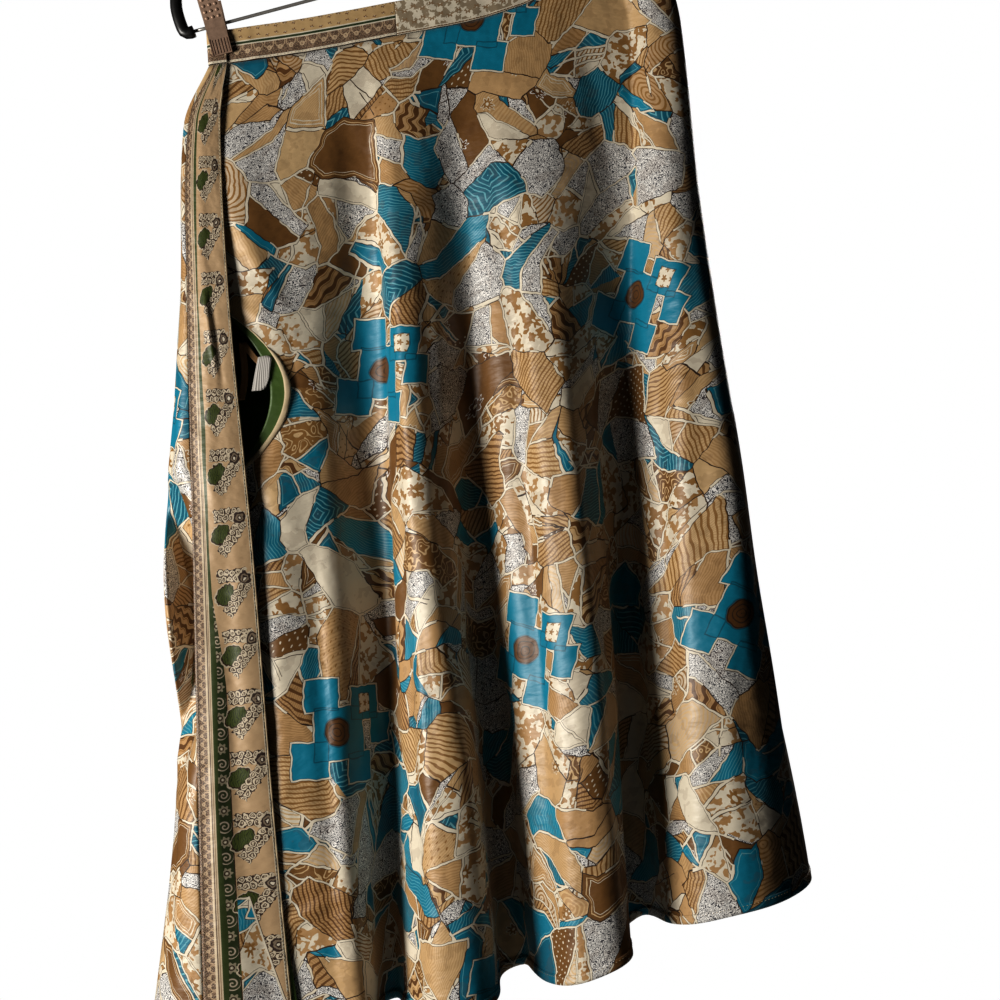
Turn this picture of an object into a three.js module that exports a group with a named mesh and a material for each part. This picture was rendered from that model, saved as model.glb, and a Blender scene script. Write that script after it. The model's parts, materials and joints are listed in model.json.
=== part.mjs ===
// A wrap skirt on a clip hanger, in millimetres, +Z up.
// The origin is the inside top of the hanger's hook, where a rail or a hand holds it.
// The skirt is one long flared cloth: its under end starts at the left of the front, crosses the front
// to the right side, goes round the back to the left side and comes forward again as the wrap end,
// which a printed border band finishes. The waistband follows the same course along the top.
import * as THREE from "three";

// ---------- driving sizes ----------
const PANEL = 1.6; // thickness of the skirt cloth
const BAND_CLOTH = 2.0; // the waistband, folded double
const FACING = 1.2; // the green facings, the label and the loop
const SEAM = 0.3; // gap between pieces that are sewn or that touch
const WAISTBAND_HEIGHT = 34;
const TILT = THREE.MathUtils.degToRad(11); // the hanger hangs with its right end up
const HOOK_TO_BAR = 190; // from the inside top of the hook to the middle of the bar

// ---------- the course of the cloth, seen from above ----------
// Each fold is a ridge, trough, side or edge that runs down the skirt. x and y are its place at LEVELS,
// which go from 0 at the waist seam to 1 at the hem. heading is the way the cloth runs there, in degrees,
// at the waist and below it. before and after say how far the fold's flat part reaches to each side,
// as a share of the distance to its neighbour.
const LEVELS = [0, 0.06, 0.25, 0.5, 0.75, 1];
const fold = (name, x, y, heading, before, after) => ({ name, x, y, heading, before, after });

const FRONT = [
  fold("under_edge", [-143, -160, -163, -165, -168, -172], [-0.5, -2, -16, -25, -33, -40], [0, 0], 0.3, 0.3),
  fold("hip_ridge", [-90, -86, -82, -76, -68, -60], [-2.5, -6, -17, -36, -57, -75], [0, 0], 0.4, 0.38),
  fold("trough_1", [0, 2, -1, -10, -19, -29], [-4, -4, -5, -6, -5, -4], [0, 0], 0.34, 0.2),
  fold("ridge_1", [40, 38, 35, 36, 40, 44], [-4.5, -9, -32, -58, -80, -98], [0, 0], 0.6, 0.45),
  fold("trough_2", [88, 90, 92, 88, 92, 98], [-5, -5, -5, -6, -5, -4], [0, 0], 0.34, 0.2),
  fold("ridge_2", [150, 152, 160, 168, 174, 178], [-4, -9, -34, -67, -92, -110], [0, 0], 0.6, 0.45),
  fold("trough_3", [262, 270, 258, 238, 228, 217], [-3.6, -4, -5, -6, -6, -6], [0, 0], 0.34, 0.2),
  fold("ridge_3", [294, 303, 304, 303, 305, 309], [-12, -22, -41, -69, -93, -110], [0, 0], 0.6, 0.5),
  fold("right_side", [313, 322, 329, 343, 362, 386], [-8, -6, 0, 4, 8, 10], [90, 90], 0.3, 0.3),
];
const BACK = [
  FRONT[FRONT.length - 1],
  fold("back_ridge_1", [292, 302, 302, 296, 292, 290], [-1, 3, 26, 52, 74, 94], [180, 180], 0.4, 0.42),
  fold("back_trough_1", [238, 246, 240, 232, 226, 222], [2.6, 4, 11, 18, 24, 30], [180, 180], 0.26, 0.26),
  fold("back_ridge_2", [170, 172, 172, 168, 164, 160], [4.5, 9, 30, 54, 76, 96], [180, 180], 0.44, 0.44),
  fold("back_trough_2", [105, 104, 100, 96, 92, 88], [4.5, 6, 12, 19, 26, 32], [180, 180], 0.26, 0.26),
  fold("back_ridge_3", [40, 36, 30, 24, 18, 12], [4.5, 9, 30, 54, 76, 94], [180, 180], 0.44, 0.44),
  fold("back_trough_3", [-20, -26, -34, -42, -52, -62], [4, 6, 12, 19, 26, 32], [180, 180], 0.26, 0.26),
  fold("back_ridge_4", [-80, -90, -102, -116, -130, -146], [3.2, 8, 28, 52, 72, 90], [180, 180], 0.42, 0.4),
  fold("back_corner", [-137, -170, -184, -217, -216, -256], [2.1, 10, 22, 34, 44, 52], [180, 225], 0.3, 0.3),
  fold("back_seam", [-144, -176, -190, -227, -226, -268], [1.9, 5, 7, 9, 11, 13], [190, 262], 0.3, 0.3),
];
const SIDE = [
  BACK[BACK.length - 1],
  fold("side_fold", [-149.5, -178, -190, -227, -228, -268], [-0.75, -3, -8, -12, -16, -20], [270, 275], 0.35, 0.35),
  fold("border_seam", [-144, -172, -182, -189, -196, -202], [-3.4, -9, -26, -45, -64, -82], [0, 0], 0.35, 0.3),
];
const BORDER = [
  SIDE[SIDE.length - 1],
  fold("border_middle", [-137, -156, -162, -161, -162, -162], [-3.4, -11, -30, -48, -65, -82], [0, 4], 0.33, 0.33),
  fold("free_edge", [-131, -141, -141, -132, -127, -119], [-3.4, -10, -30, -46, -60, -73], [0, 14], 0.33, 0.33),
];

// Where folds leave their course between two levels: dx and dy at the middle, and the turn in degrees.
// The under edge swings away from the wrap and leaves a gap there. Lower down, the side falls in behind
// the border and makes a deep pocket.
const STRAYS = {
  under_edge: { from: 0.252, to: 0.44, dx: 72, dy: -8, turn: 0, ease: 0.8 },
  side_fold: { from: 0.43, to: 0.72, dx: 24, dy: 36, turn: 60, ease: 1.2 },
  back_seam: { from: 0.43, to: 0.72, dx: 2, dy: -26, turn: 34, ease: 1.2 },
};

// Height of the waist seam and of the hem above x.
const SEAM_HEIGHT = {
  x: [-160, -55, 42, 115, 167, 213, 260, 315],
  z: [-262, -255.4, -245, -236, -223.5, -207, -201, -200],
};
const HEM_HEIGHT = { x: [-268, -120, 26, 152, 285, 386], z: [-1214, -1211, -1192, -1163, -1112, -1096] };

// The rows of the cloth, closer where it opens or turns.
const ROWS = [
  0, 0.02, 0.045, 0.09, 0.14, 0.19, 0.235, 0.265, 0.285, 0.31, 0.335, 0.36, 0.385, 0.41, 0.435, 0.465, 0.51, 0.56,
  0.61, 0.655, 0.7, 0.76, 0.82, 0.88, 0.94, 1,
];

// ---------- curves ----------
// A smooth curve through (keys, values), with the mean slope at each inner key.
function smooth(keys, values, at) {
  const last = keys.length - 1;
  const q = Math.min(Math.max(at, keys[0]), keys[last]);
  let i = 0;
  while (i < last - 1 && q > keys[i + 1]) i++;
  const slope = (a, b) => (values[b] - values[a]) / (keys[b] - keys[a]);
  const m0 = i > 0 ? slope(i - 1, i + 1) : slope(0, 1);
  const m1 = i < last - 1 ? slope(i, i + 2) : slope(last - 1, last);
  const h = keys[i + 1] - keys[i];
  const u = (q - keys[i]) / h;
  const u2 = u * u;
  const u3 = u2 * u;
  return (
    (2 * u3 - 3 * u2 + 1) * values[i] +
    (u3 - 2 * u2 + u) * h * m0 +
    (3 * u2 - 2 * u3) * values[i + 1] +
    (u3 - u2) * h * m1
  );
}

// 0 outside a stray's levels, rising to 1 in its middle.
function straying(name, t) {
  const stray = STRAYS[name];
  const q = stray ? (t - stray.from) / (stray.to - stray.from) : 0;
  return q > 0 && q < 1 ? Math.sin(Math.PI * q) ** stray.ease : 0;
}

// Where a fold is at level t, and which way the cloth runs there.
function foldAt(f, t) {
  const { dx = 0, dy = 0, turn = 0 } = STRAYS[f.name] ?? {};
  const s = straying(f.name, t);
  const at = new THREE.Vector2(smooth(LEVELS, f.x, t) + s * dx, smooth(LEVELS, f.y, t) + s * dy);
  const blend = THREE.MathUtils.smoothstep(t, 0, LEVELS[1]);
  const heading = THREE.MathUtils.degToRad(THREE.MathUtils.lerp(f.heading[0], f.heading[1], blend) + s * turn);
  return { at, along: new THREE.Vector2(Math.cos(heading), Math.sin(heading)) };
}

// The cloth's course through a list of folds at level t: counts[i] equal steps from fold i to fold i + 1.
function course(folds, counts, t) {
  const points = [];
  for (let i = 0; i < folds.length - 1; i++) {
    const a = foldAt(folds[i], t);
    const b = foldAt(folds[i + 1], t);
    const reach = a.at.distanceTo(b.at);
    const bend = new THREE.CubicBezierCurve(
      a.at,
      a.at.clone().addScaledVector(a.along, reach * folds[i].after),
      b.at.clone().addScaledVector(b.along, -reach * folds[i + 1].before),
      b.at,
    );
    const steps = bend.getSpacedPoints(counts[i]);
    points.push(...(i ? steps.slice(1) : steps));
  }
  return points;
}

// ---------- cloth as solids ----------
// The direction from the outer face to the inner face at one point of a grid.
function inwardAt(grid, r, c) {
  const last = grid[0].length - 1;
  const { ends } = grid[r];
  const along =
    ends && c === 0 ? ends[0].clone()
    : ends && c === last ? ends[1].clone()
    : grid[r][Math.min(c + 1, last)].clone().sub(grid[r][Math.max(c - 1, 0)]);
  const down = grid[Math.min(r + 1, grid.length - 1)][c].clone().sub(grid[Math.max(r - 1, 0)][c]);
  return along.cross(down).normalize();
}

// A cloth wall around a grid of middle points, grid[row][column]: rows go down, columns go along the course.
function clothWall(grid, thickness) {
  const rows = grid.length;
  const columns = grid[0].length;
  const at = (r, c) => grid[r][c];
  const positions = [];
  for (const side of [-0.5, 0.5])
    for (let r = 0; r < rows; r++)
      for (let c = 0; c < columns; c++) {
        positions.push(...at(r, c).clone().addScaledVector(inwardAt(grid, r, c), side * thickness));
      }
  const outer = (r, c) => r * columns + c;
  const inner = (r, c) => rows * columns + outer(r, c);
  const index = [];
  const quad = (a, b, c, d) => index.push(a, b, c, a, c, d);
  for (let r = 0; r < rows - 1; r++)
    for (let c = 0; c < columns - 1; c++) {
      quad(outer(r, c), outer(r + 1, c), outer(r + 1, c + 1), outer(r, c + 1));
      quad(inner(r, c), inner(r, c + 1), inner(r + 1, c + 1), inner(r + 1, c));
    }
  const rim = [];
  for (let c = 0; c < columns; c++) rim.push([0, c]);
  for (let r = 1; r < rows; r++) rim.push([r, columns - 1]);
  for (let c = columns - 2; c >= 0; c--) rim.push([rows - 1, c]);
  for (let r = rows - 2; r > 0; r--) rim.push([r, 0]);
  rim.forEach((a, i) => {
    const b = rim[(i + 1) % rim.length];
    quad(outer(...a), outer(...b), inner(...b), inner(...a));
  });
  const geometry = new THREE.BufferGeometry();
  geometry.setAttribute("position", new THREE.Float32BufferAttribute(positions, 3));
  geometry.setIndex(index);
  geometry.computeVertexNormals();
  return geometry;
}

// The middle points of a panel, as rows from the waist seam down. Each end stops half a seam's gap short of
// its fold and is square to the fold's heading, so that two panels that meet at a fold stay parallel there.
function ringRow(folds, counts, t, height) {
  const first = foldAt(folds[0], t);
  const last = foldAt(folds[folds.length - 1], t);
  const points = course(folds, counts, t);
  points[0] = first.at.clone().addScaledVector(first.along, SEAM / 2);
  points[points.length - 1] = last.at.clone().addScaledVector(last.along, -SEAM / 2);
  const row = points.map((p, i) => new THREE.Vector3(p.x, p.y, height(i)));
  row.ends = [first.along, last.along].map((a) => new THREE.Vector3(a.x, a.y, 0));
  return row;
}

function panelGrid(folds, counts) {
  const waist = course(folds, counts, 0).map((p) => smooth(SEAM_HEIGHT.x, SEAM_HEIGHT.z, p.x) - 2 * SEAM);
  const hem = course(folds, counts, 1).map((p) => smooth(HEM_HEIGHT.x, HEM_HEIGHT.z, p.x));
  return ROWS.map((t) => ringRow(folds, counts, t, (i) => THREE.MathUtils.lerp(waist[i], hem[i], t)));
}

// The waistband stands on the waist seam and follows the same course.
function bandGrid(folds, counts) {
  const seam = course(folds, counts, 0).map((p) => smooth(SEAM_HEIGHT.x, SEAM_HEIGHT.z, p.x));
  return [1, 0].map((q) => ringRow(folds, counts, 0, (i) => seam[i] + q * WAISTBAND_HEIGHT));
}

// Some rows and columns of a grid, kept with the directions of its ends.
function partOf(grid, fromRow, fromColumn, toColumn) {
  return grid.slice(fromRow).map((row) => {
    const part = row.slice(fromColumn, toColumn + 1);
    const tangent = (c) => row[Math.min(c + 1, row.length - 1)].clone().sub(row[Math.max(c - 1, 0)]);
    part.ends = [
      fromColumn === 0 ? row.ends[0] : tangent(fromColumn),
      toColumn === row.length - 1 ? row.ends[1] : tangent(toColumn),
    ];
    return part;
  });
}

// A grid moved inward, off the face of the cloth that it lines.
function moved(grid, distance) {
  return grid.map((row, r) => {
    const copy = row.map((p, c) => p.clone().addScaledVector(inwardAt(grid, r, c), distance));
    copy.ends = row.ends;
    return copy;
  });
}

// Lets a grid reach past its first or last column, straight on, by reach(row).
function reaching(grid, end, reach) {
  grid.forEach((row, r) => {
    const past = row.ends[end].clone().multiplyScalar(end ? reach(r) : -reach(r));
    if (end) row.push(row[row.length - 1].clone().add(past));
    else row.unshift(row[0].clone().add(past));
  });
  return grid;
}

// A straight-sided rod of oval section along a curve in the plane y = 0, in the hanger's own frame.
function rod(curve, steps, sides, inPlane, inDepth) {
  const grid = [];
  for (let i = 0; i <= steps; i++) {
    const p = curve.getPointAt(i / steps);
    const tangent = curve.getTangentAt(i / steps);
    const across = new THREE.Vector3(-tangent.z, 0, tangent.x);
    grid.push(
      Array.from({ length: sides }, (_, j) => {
        const angle = (2 * Math.PI * (j + 0.5)) / sides;
        return p
          .clone()
          .addScaledVector(across, inPlane * Math.cos(angle))
          .add(new THREE.Vector3(0, inDepth * Math.sin(angle), 0));
      }),
    );
  }
  const positions = grid.flat().flatMap((p) => p.toArray());
  positions.push(...curve.getPointAt(0).toArray(), ...curve.getPointAt(1).toArray());
  const firstCap = grid.length * sides;
  const index = [];
  for (let i = 0; i <= steps; i++)
    for (let j = 0; j < sides; j++) {
      const a = i * sides + j;
      const b = i * sides + ((j + 1) % sides);
      if (i < steps) index.push(a, a + sides, b + sides, a, b + sides, b);
      if (i === 0) index.push(firstCap, a, b);
      if (i === steps) index.push(firstCap + 1, b, a);
    }
  const geometry = new THREE.BufferGeometry();
  geometry.setAttribute("position", new THREE.Float32BufferAttribute(positions, 3));
  geometry.setIndex(index);
  geometry.computeVertexNormals();
  return geometry;
}

// ---------- materials ----------
const material = (color, roughness, metalness = 0) =>
  new THREE.MeshStandardMaterial({ color, roughness, metalness });
const PRINT = material(0xa8824f, 0.5);
const BORDER_PRINT = material(0xb79a72, 0.5);
const GREEN = material(0x4c6a2a, 0.55);
const WHITE = material(0xe6e2da, 0.6);
const BLACK = material(0x141312, 0.45);
const STEEL = material(0x8f8a84, 0.35, 1);

const skirt = new THREE.Group();
function add(name, geometry, look, parent = skirt) {
  const mesh = new THREE.Mesh(geometry, look);
  mesh.name = name;
  parent.add(mesh);
  return mesh;
}

// ---------- the skirt ----------
const FRONT_STEPS = [4, 4, 6, 5, 6, 7, 6, 6];
const BACK_STEPS = [5, 4, 4, 4, 4, 4, 4, 4, 3];
const SIDE_STEPS = [3, 5];
const BORDER_STEPS = [3, 3];

const frontGrid = panelGrid(FRONT, FRONT_STEPS);
const borderGrid = panelGrid(BORDER, BORDER_STEPS);
add("front_panel", clothWall(frontGrid, PANEL), PRINT);
add("back_panel", clothWall(panelGrid(BACK, BACK_STEPS), PANEL), PRINT);
add("wrap_side", clothWall(panelGrid(SIDE, SIDE_STEPS), PANEL), PRINT);
add("border_band", clothWall(borderGrid, PANEL), BORDER_PRINT);

// The green facings line the two free edges, inside the cloth. The front one shows in the gap, and the
// border's peeps out at the hem.
const LINED = PANEL / 2 + SEAM + FACING / 2;
const FACING_ROW = 2;
const underFacing = moved(
  reaching(partOf(frontGrid, FACING_ROW, 0, 2), 0, (r) => 0.8 + 14 * straying("under_edge", ROWS[r + FACING_ROW])),
  LINED,
);
const borderFacing = moved(
  reaching(partOf(borderGrid, FACING_ROW, 3, 6), 1, (r) => 0.6 + 7 * THREE.MathUtils.smoothstep(ROWS[r + FACING_ROW], 0.86, 1)),
  LINED,
);
add("under_facing", clothWall(underFacing, FACING), GREEN);
add("border_facing", clothWall(borderFacing, FACING), GREEN);

// The waistband: a printed length on the front, a plainer one from the join round the back, and the wrap's.
const JOIN = 3; // the fold where the two lengths are joined
const around = [...FRONT.slice(JOIN), ...BACK.slice(1)];
add("waistband_front", clothWall(bandGrid(FRONT.slice(0, JOIN + 1), FRONT_STEPS.slice(0, JOIN)), BAND_CLOTH), BORDER_PRINT);
add("waistband_back", clothWall(bandGrid(around, [...FRONT_STEPS.slice(JOIN), ...BACK_STEPS]), BAND_CLOTH), BORDER_PRINT);
add("waistband_wrap", clothWall(bandGrid([...SIDE, ...BORDER.slice(1)], [...SIDE_STEPS, ...BORDER_STEPS]), BAND_CLOTH), BORDER_PRINT);

// The blank label and the loop are sewn to the edge of the under facing, in the gap.
const labelRow = ROWS.indexOf(0.335) - FACING_ROW;
const edge = underFacing[labelRow][0];
const strip = (rows) => rows.map((row) => row.map(([x, y, z]) => new THREE.Vector3(edge.x + x, edge.y + y, z)));
const LABEL_OUT = -(FACING / 2 + SEAM + FACING / 2);
add(
  "label",
  clothWall(
    strip([
      [[-9, LABEL_OUT + 0.6, -558], [-1, LABEL_OUT + 0.9, -557], [4.5, LABEL_OUT + 1.1, -559]],
      [[-13, LABEL_OUT - 0.6, -574], [-3, LABEL_OUT - 0.3, -573], [2.5, LABEL_OUT - 0.1, -570]],
      [[-17, LABEL_OUT - 2.2, -591], [-5, LABEL_OUT - 1.6, -590], [0.5, LABEL_OUT - 0.9, -580]],
    ]),
    FACING,
  ),
  WHITE,
);
const across = (x, y, z) => [[x - 3.5, y, z], [x + 3.5, y, z]];
add(
  "loop",
  clothWall(
    strip([
      across(-2.5, 2.5, -570),
      across(-14, 4.4, -557),
      across(-22, 6.2, -545),
      across(-24.5, 7.8, -542),
      across(-25.5, 9.6, -545),
      across(-25, 9, -574),
      across(-30, 8, -598),
    ]),
    FACING,
  ),
  BORDER_PRINT,
);

// ---------- the hanger ----------
const hanger = new THREE.Group();
hanger.rotation.y = -TILT;
skirt.add(hanger);

const BAR_RADIUS = 1.6;
const BAR_HALF = 202;
const plane = (points) => points.map(([u, w]) => new THREE.Vector3(u, 0, w));
const arm = [
  [BAR_HALF + SEAM, -HOOK_TO_BAR],
  [BAR_HALF + 7, -HOOK_TO_BAR],
  [BAR_HALF + 11, -HOOK_TO_BAR + 6],
  [BAR_HALF + 11, -160],
  [BAR_HALF + 1, -143],
  [170, -130],
  [90, -99],
  [24, -79],
];
const arms = [...arm.map(([u, w]) => [-u, w]), [0, -76], ...arm.slice().reverse()];
add("hanger_frame", rod(new THREE.CatmullRomCurve3(plane(arms)), 34, 8, 6, 5), BLACK, hanger);
add(
  "hanger_bar",
  rod(new THREE.LineCurve3(...plane([[-BAR_HALF, -HOOK_TO_BAR], [BAR_HALF, -HOOK_TO_BAR]])), 1, 10, BAR_RADIUS, BAR_RADIUS),
  STEEL,
  hanger,
);
const WIRE = 2.2;
const BOW = 21 + WIRE; // the hook's bow, to the middle of its wire
const bow = (degrees) => {
  const angle = THREE.MathUtils.degToRad(degrees);
  return [BOW * Math.cos(angle), -21 + BOW * Math.sin(angle)];
};
const hookLine = [[0, -69.6], [0, -62], [3, -54], [14, -43], ...[-20, 10, 40, 65, 90, 115, 140, 170, 190].map(bow)];
add("hanger_hook", rod(new THREE.CatmullRomCurve3(plane(hookLine)), 24, 6, WIRE, WIRE), STEEL, hanger);

// A clip turns on the bar. Its lower jaws hold the waistband, and its upper levers are pinched to open it.
function clip(name, u, frontJaw, backJaw) {
  const sheet = 1.3;
  const web = 4.6;
  const width = 20;
  const outline = [
    [-12.6, 27.6],
    [-6, 4],
    [-6, -6],
    [-frontJaw - sheet, -14],
    [-frontJaw - sheet, -32],
    [-frontJaw, -32],
    [-frontJaw, -14],
    [-web, -web],
    [web, -web],
    [backJaw, -14],
    [backJaw, -32],
    [backJaw + sheet, -32],
    [backJaw + sheet, -14],
    [6, -6],
    [6, 4],
    [12.6, 27.6],
    [11.3, 28],
    [web, web],
    [-web, web],
    [-11.3, 28],
  ];
  const shape = new THREE.Shape(outline.map((p) => new THREE.Vector2(...p)));
  const bore = new THREE.Path();
  bore.absarc(0, 0, BAR_RADIUS + SEAM, 0, 2 * Math.PI, true);
  shape.holes.push(bore);
  const geometry = new THREE.ExtrudeGeometry(shape, { depth: width, bevelEnabled: false, curveSegments: 5 });
  geometry.applyMatrix4(
    new THREE.Matrix4()
      .makeBasis(new THREE.Vector3(0, 1, 0), new THREE.Vector3(0, 0, 1), new THREE.Vector3(1, 0, 0))
      .setPosition(u - width / 2, 0, -HOOK_TO_BAR),
  );
  add(name, geometry, STEEL, hanger);
}
clip("clip_left", -180, 4.8, 3.9);
clip("clip_right", 178, 5.2, 5.2);

export default skirt;
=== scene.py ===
import json
import math

import bmesh
import bpy
import numpy as np
from mathutils import Matrix, Vector

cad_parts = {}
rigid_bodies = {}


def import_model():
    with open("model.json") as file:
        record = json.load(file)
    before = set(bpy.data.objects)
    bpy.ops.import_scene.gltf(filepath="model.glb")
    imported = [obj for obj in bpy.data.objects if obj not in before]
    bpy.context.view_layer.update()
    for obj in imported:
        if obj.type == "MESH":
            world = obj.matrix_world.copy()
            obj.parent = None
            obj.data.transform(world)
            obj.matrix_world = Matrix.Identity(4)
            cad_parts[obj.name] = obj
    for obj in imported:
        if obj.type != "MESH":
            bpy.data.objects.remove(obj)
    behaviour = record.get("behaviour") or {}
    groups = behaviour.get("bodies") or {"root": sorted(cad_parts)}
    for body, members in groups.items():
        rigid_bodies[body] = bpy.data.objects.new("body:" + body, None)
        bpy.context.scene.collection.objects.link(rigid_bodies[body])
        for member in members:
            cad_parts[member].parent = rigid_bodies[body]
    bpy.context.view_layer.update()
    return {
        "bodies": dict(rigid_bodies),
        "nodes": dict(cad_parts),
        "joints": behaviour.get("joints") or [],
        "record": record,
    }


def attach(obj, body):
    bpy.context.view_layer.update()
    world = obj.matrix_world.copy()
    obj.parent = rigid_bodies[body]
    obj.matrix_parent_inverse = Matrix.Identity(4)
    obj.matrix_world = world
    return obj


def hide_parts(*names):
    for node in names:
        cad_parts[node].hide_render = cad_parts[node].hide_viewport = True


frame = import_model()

MM = 0.001

# ------------------------------------------------- the course of the cloth, in millimetres
# The same folds as the solids have: name, x and y at LEVELS from the waist seam to the hem, the heading in
# degrees at the waist and below it, and how far the fold's flat part reaches before and after it.
LEVELS = [0, 0.06, 0.25, 0.5, 0.75, 1]
RIGHT_SIDE = ("right_side", [313, 322, 329, 343, 362, 386], [-8, -6, 0, 4, 8, 10], (90, 90), 0.3, 0.3)
BACK_SEAM = ("back_seam", [-144, -176, -190, -227, -226, -268], [1.9, 5, 7, 9, 11, 13], (190, 262), 0.3, 0.3)
BORDER_SEAM = (
    "border_seam", [-144, -172, -182, -189, -196, -202], [-3.4, -9, -26, -45, -64, -82], (0, 0), 0.35, 0.3)
FRONT = [
    ("under_edge", [-143, -160, -163, -165, -168, -172], [-0.5, -2, -16, -25, -33, -40], (0, 0), 0.3, 0.3),
    ("hip_ridge", [-90, -86, -82, -76, -68, -60], [-2.5, -6, -17, -36, -57, -75], (0, 0), 0.4, 0.38),
    ("trough_1", [0, 2, -1, -10, -19, -29], [-4, -4, -5, -6, -5, -4], (0, 0), 0.34, 0.2),
    ("ridge_1", [40, 38, 35, 36, 40, 44], [-4.5, -9, -32, -58, -80, -98], (0, 0), 0.6, 0.45),
    ("trough_2", [88, 90, 92, 88, 92, 98], [-5, -5, -5, -6, -5, -4], (0, 0), 0.34, 0.2),
    ("ridge_2", [150, 152, 160, 168, 174, 178], [-4, -9, -34, -67, -92, -110], (0, 0), 0.6, 0.45),
    ("trough_3", [262, 270, 258, 238, 228, 217], [-3.6, -4, -5, -6, -6, -6], (0, 0), 0.34, 0.2),
    ("ridge_3", [294, 303, 304, 303, 305, 309], [-12, -22, -41, -69, -93, -110], (0, 0), 0.6, 0.5),
    RIGHT_SIDE,
]
BACK = [
    RIGHT_SIDE,
    ("back_ridge_1", [292, 302, 302, 296, 292, 290], [-1, 3, 26, 52, 74, 94], (180, 180), 0.4, 0.42),
    ("back_trough_1", [238, 246, 240, 232, 226, 222], [2.6, 4, 11, 18, 24, 30], (180, 180), 0.26, 0.26),
    ("back_ridge_2", [170, 172, 172, 168, 164, 160], [4.5, 9, 30, 54, 76, 96], (180, 180), 0.44, 0.44),
    ("back_trough_2", [105, 104, 100, 96, 92, 88], [4.5, 6, 12, 19, 26, 32], (180, 180), 0.26, 0.26),
    ("back_ridge_3", [40, 36, 30, 24, 18, 12], [4.5, 9, 30, 54, 76, 94], (180, 180), 0.44, 0.44),
    ("back_trough_3", [-20, -26, -34, -42, -52, -62], [4, 6, 12, 19, 26, 32], (180, 180), 0.26, 0.26),
    ("back_ridge_4", [-80, -90, -102, -116, -130, -146], [3.2, 8, 28, 52, 72, 90], (180, 180), 0.42, 0.4),
    ("back_corner", [-137, -170, -184, -217, -216, -256], [2.1, 10, 22, 34, 44, 52], (180, 225), 0.3, 0.3),
    BACK_SEAM,
]
SIDE = [
    BACK_SEAM,
    ("side_fold", [-149.5, -178, -190, -227, -228, -268], [-0.75, -3, -8, -12, -16, -20], (270, 275),
     0.35, 0.35),
    BORDER_SEAM,
]
BORDER = [
    BORDER_SEAM,
    ("border_middle", [-137, -156, -162, -161, -162, -162], [-3.4, -11, -30, -48, -65, -82], (0, 4),
     0.33, 0.33),
    ("free_edge", [-131, -141, -141, -132, -127, -119], [-3.4, -10, -30, -46, -60, -73], (0, 14), 0.33, 0.33),
]
# Where folds leave their course between two levels: from, to, dx, dy, turn and ease.
STRAYS = {
    "under_edge": (0.252, 0.44, 72, -8, 0, 0.8),
    "side_fold": (0.43, 0.72, 24, 36, 60, 1.2),
    "back_seam": (0.43, 0.72, 2, -26, 34, 1.2),
}
SEAM_HEIGHT = ([-160, -55, 42, 115, 167, 213, 260, 315], [-262, -255.4, -245, -236, -223.5, -207, -201, -200])
HEM_HEIGHT = ([-268, -120, 26, 152, 285, 386], [-1214, -1211, -1192, -1163, -1112, -1096])
WAISTBAND_HEIGHT = 34
SEAM = 0.3
CLOTH_LENGTH = 950.0
CLOTH = 1.1  # thickness of the cloth that shows
LEAST_FLARE = 0.05  # the least angle of a flat cut, in radians
ROUNDED_END = 0.6  # the share of a rod's width at its very end


def unit(vectors):
    return vectors / np.linalg.norm(vectors, axis=-1, keepdims=True)


def run_along(points):
    """How far along its line each point lies. points is [..., point, coordinate]."""
    steps = np.linalg.norm(np.diff(points, axis=-2), axis=-1)
    return np.concatenate([np.zeros((*steps.shape[:-1], 1)), np.cumsum(steps, axis=-1)], -1)


def smooth(keys, values, at):
    """A smooth curve through (keys, values), with the mean slope at each inner key."""
    keys, values = np.asarray(keys, float), np.asarray(values, float)
    q = np.clip(np.asarray(at, float), keys[0], keys[-1])
    i = np.clip(np.searchsorted(keys, q, side="right") - 1, 0, len(keys) - 2)
    inner = (values[2:] - values[:-2]) / (keys[2:] - keys[:-2])
    ends = (values[1:] - values[:-1]) / (keys[1:] - keys[:-1])
    slopes = np.concatenate([[ends[0]], inner, [ends[-1]]])
    h = keys[i + 1] - keys[i]
    u = (q - keys[i]) / h
    return (
        (2 * u**3 - 3 * u**2 + 1) * values[i] + (u**3 - 2 * u**2 + u) * h * slopes[i]
        + (3 * u**2 - 2 * u**3) * values[i + 1] + (u**3 - u**2) * h * slopes[i + 1])


def ramp(low, high, at):
    q = np.clip((np.asarray(at, float) - low) / (high - low), 0, 1)
    return q * q * (3 - 2 * q)


def straying(name, t):
    if name not in STRAYS:
        return 0.0
    start, end, *_, ease = STRAYS[name]
    q = (t - start) / (end - start)
    return math.sin(math.pi * q) ** ease if 0 < q < 1 else 0.0


def fold_at(fold, t):
    name, xs, ys, (at_waist, below), _, _ = fold
    s = straying(name, t)
    dx, dy, turn = STRAYS[name][2:5] if name in STRAYS else (0, 0, 0)
    at = np.array([smooth(LEVELS, xs, t) + s * dx, smooth(LEVELS, ys, t) + s * dy])
    blend = ramp(0, LEVELS[1], t)
    heading = math.radians(at_waist + (below - at_waist) * blend + s * turn)
    return at, np.array([math.cos(heading), math.sin(heading)])


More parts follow.
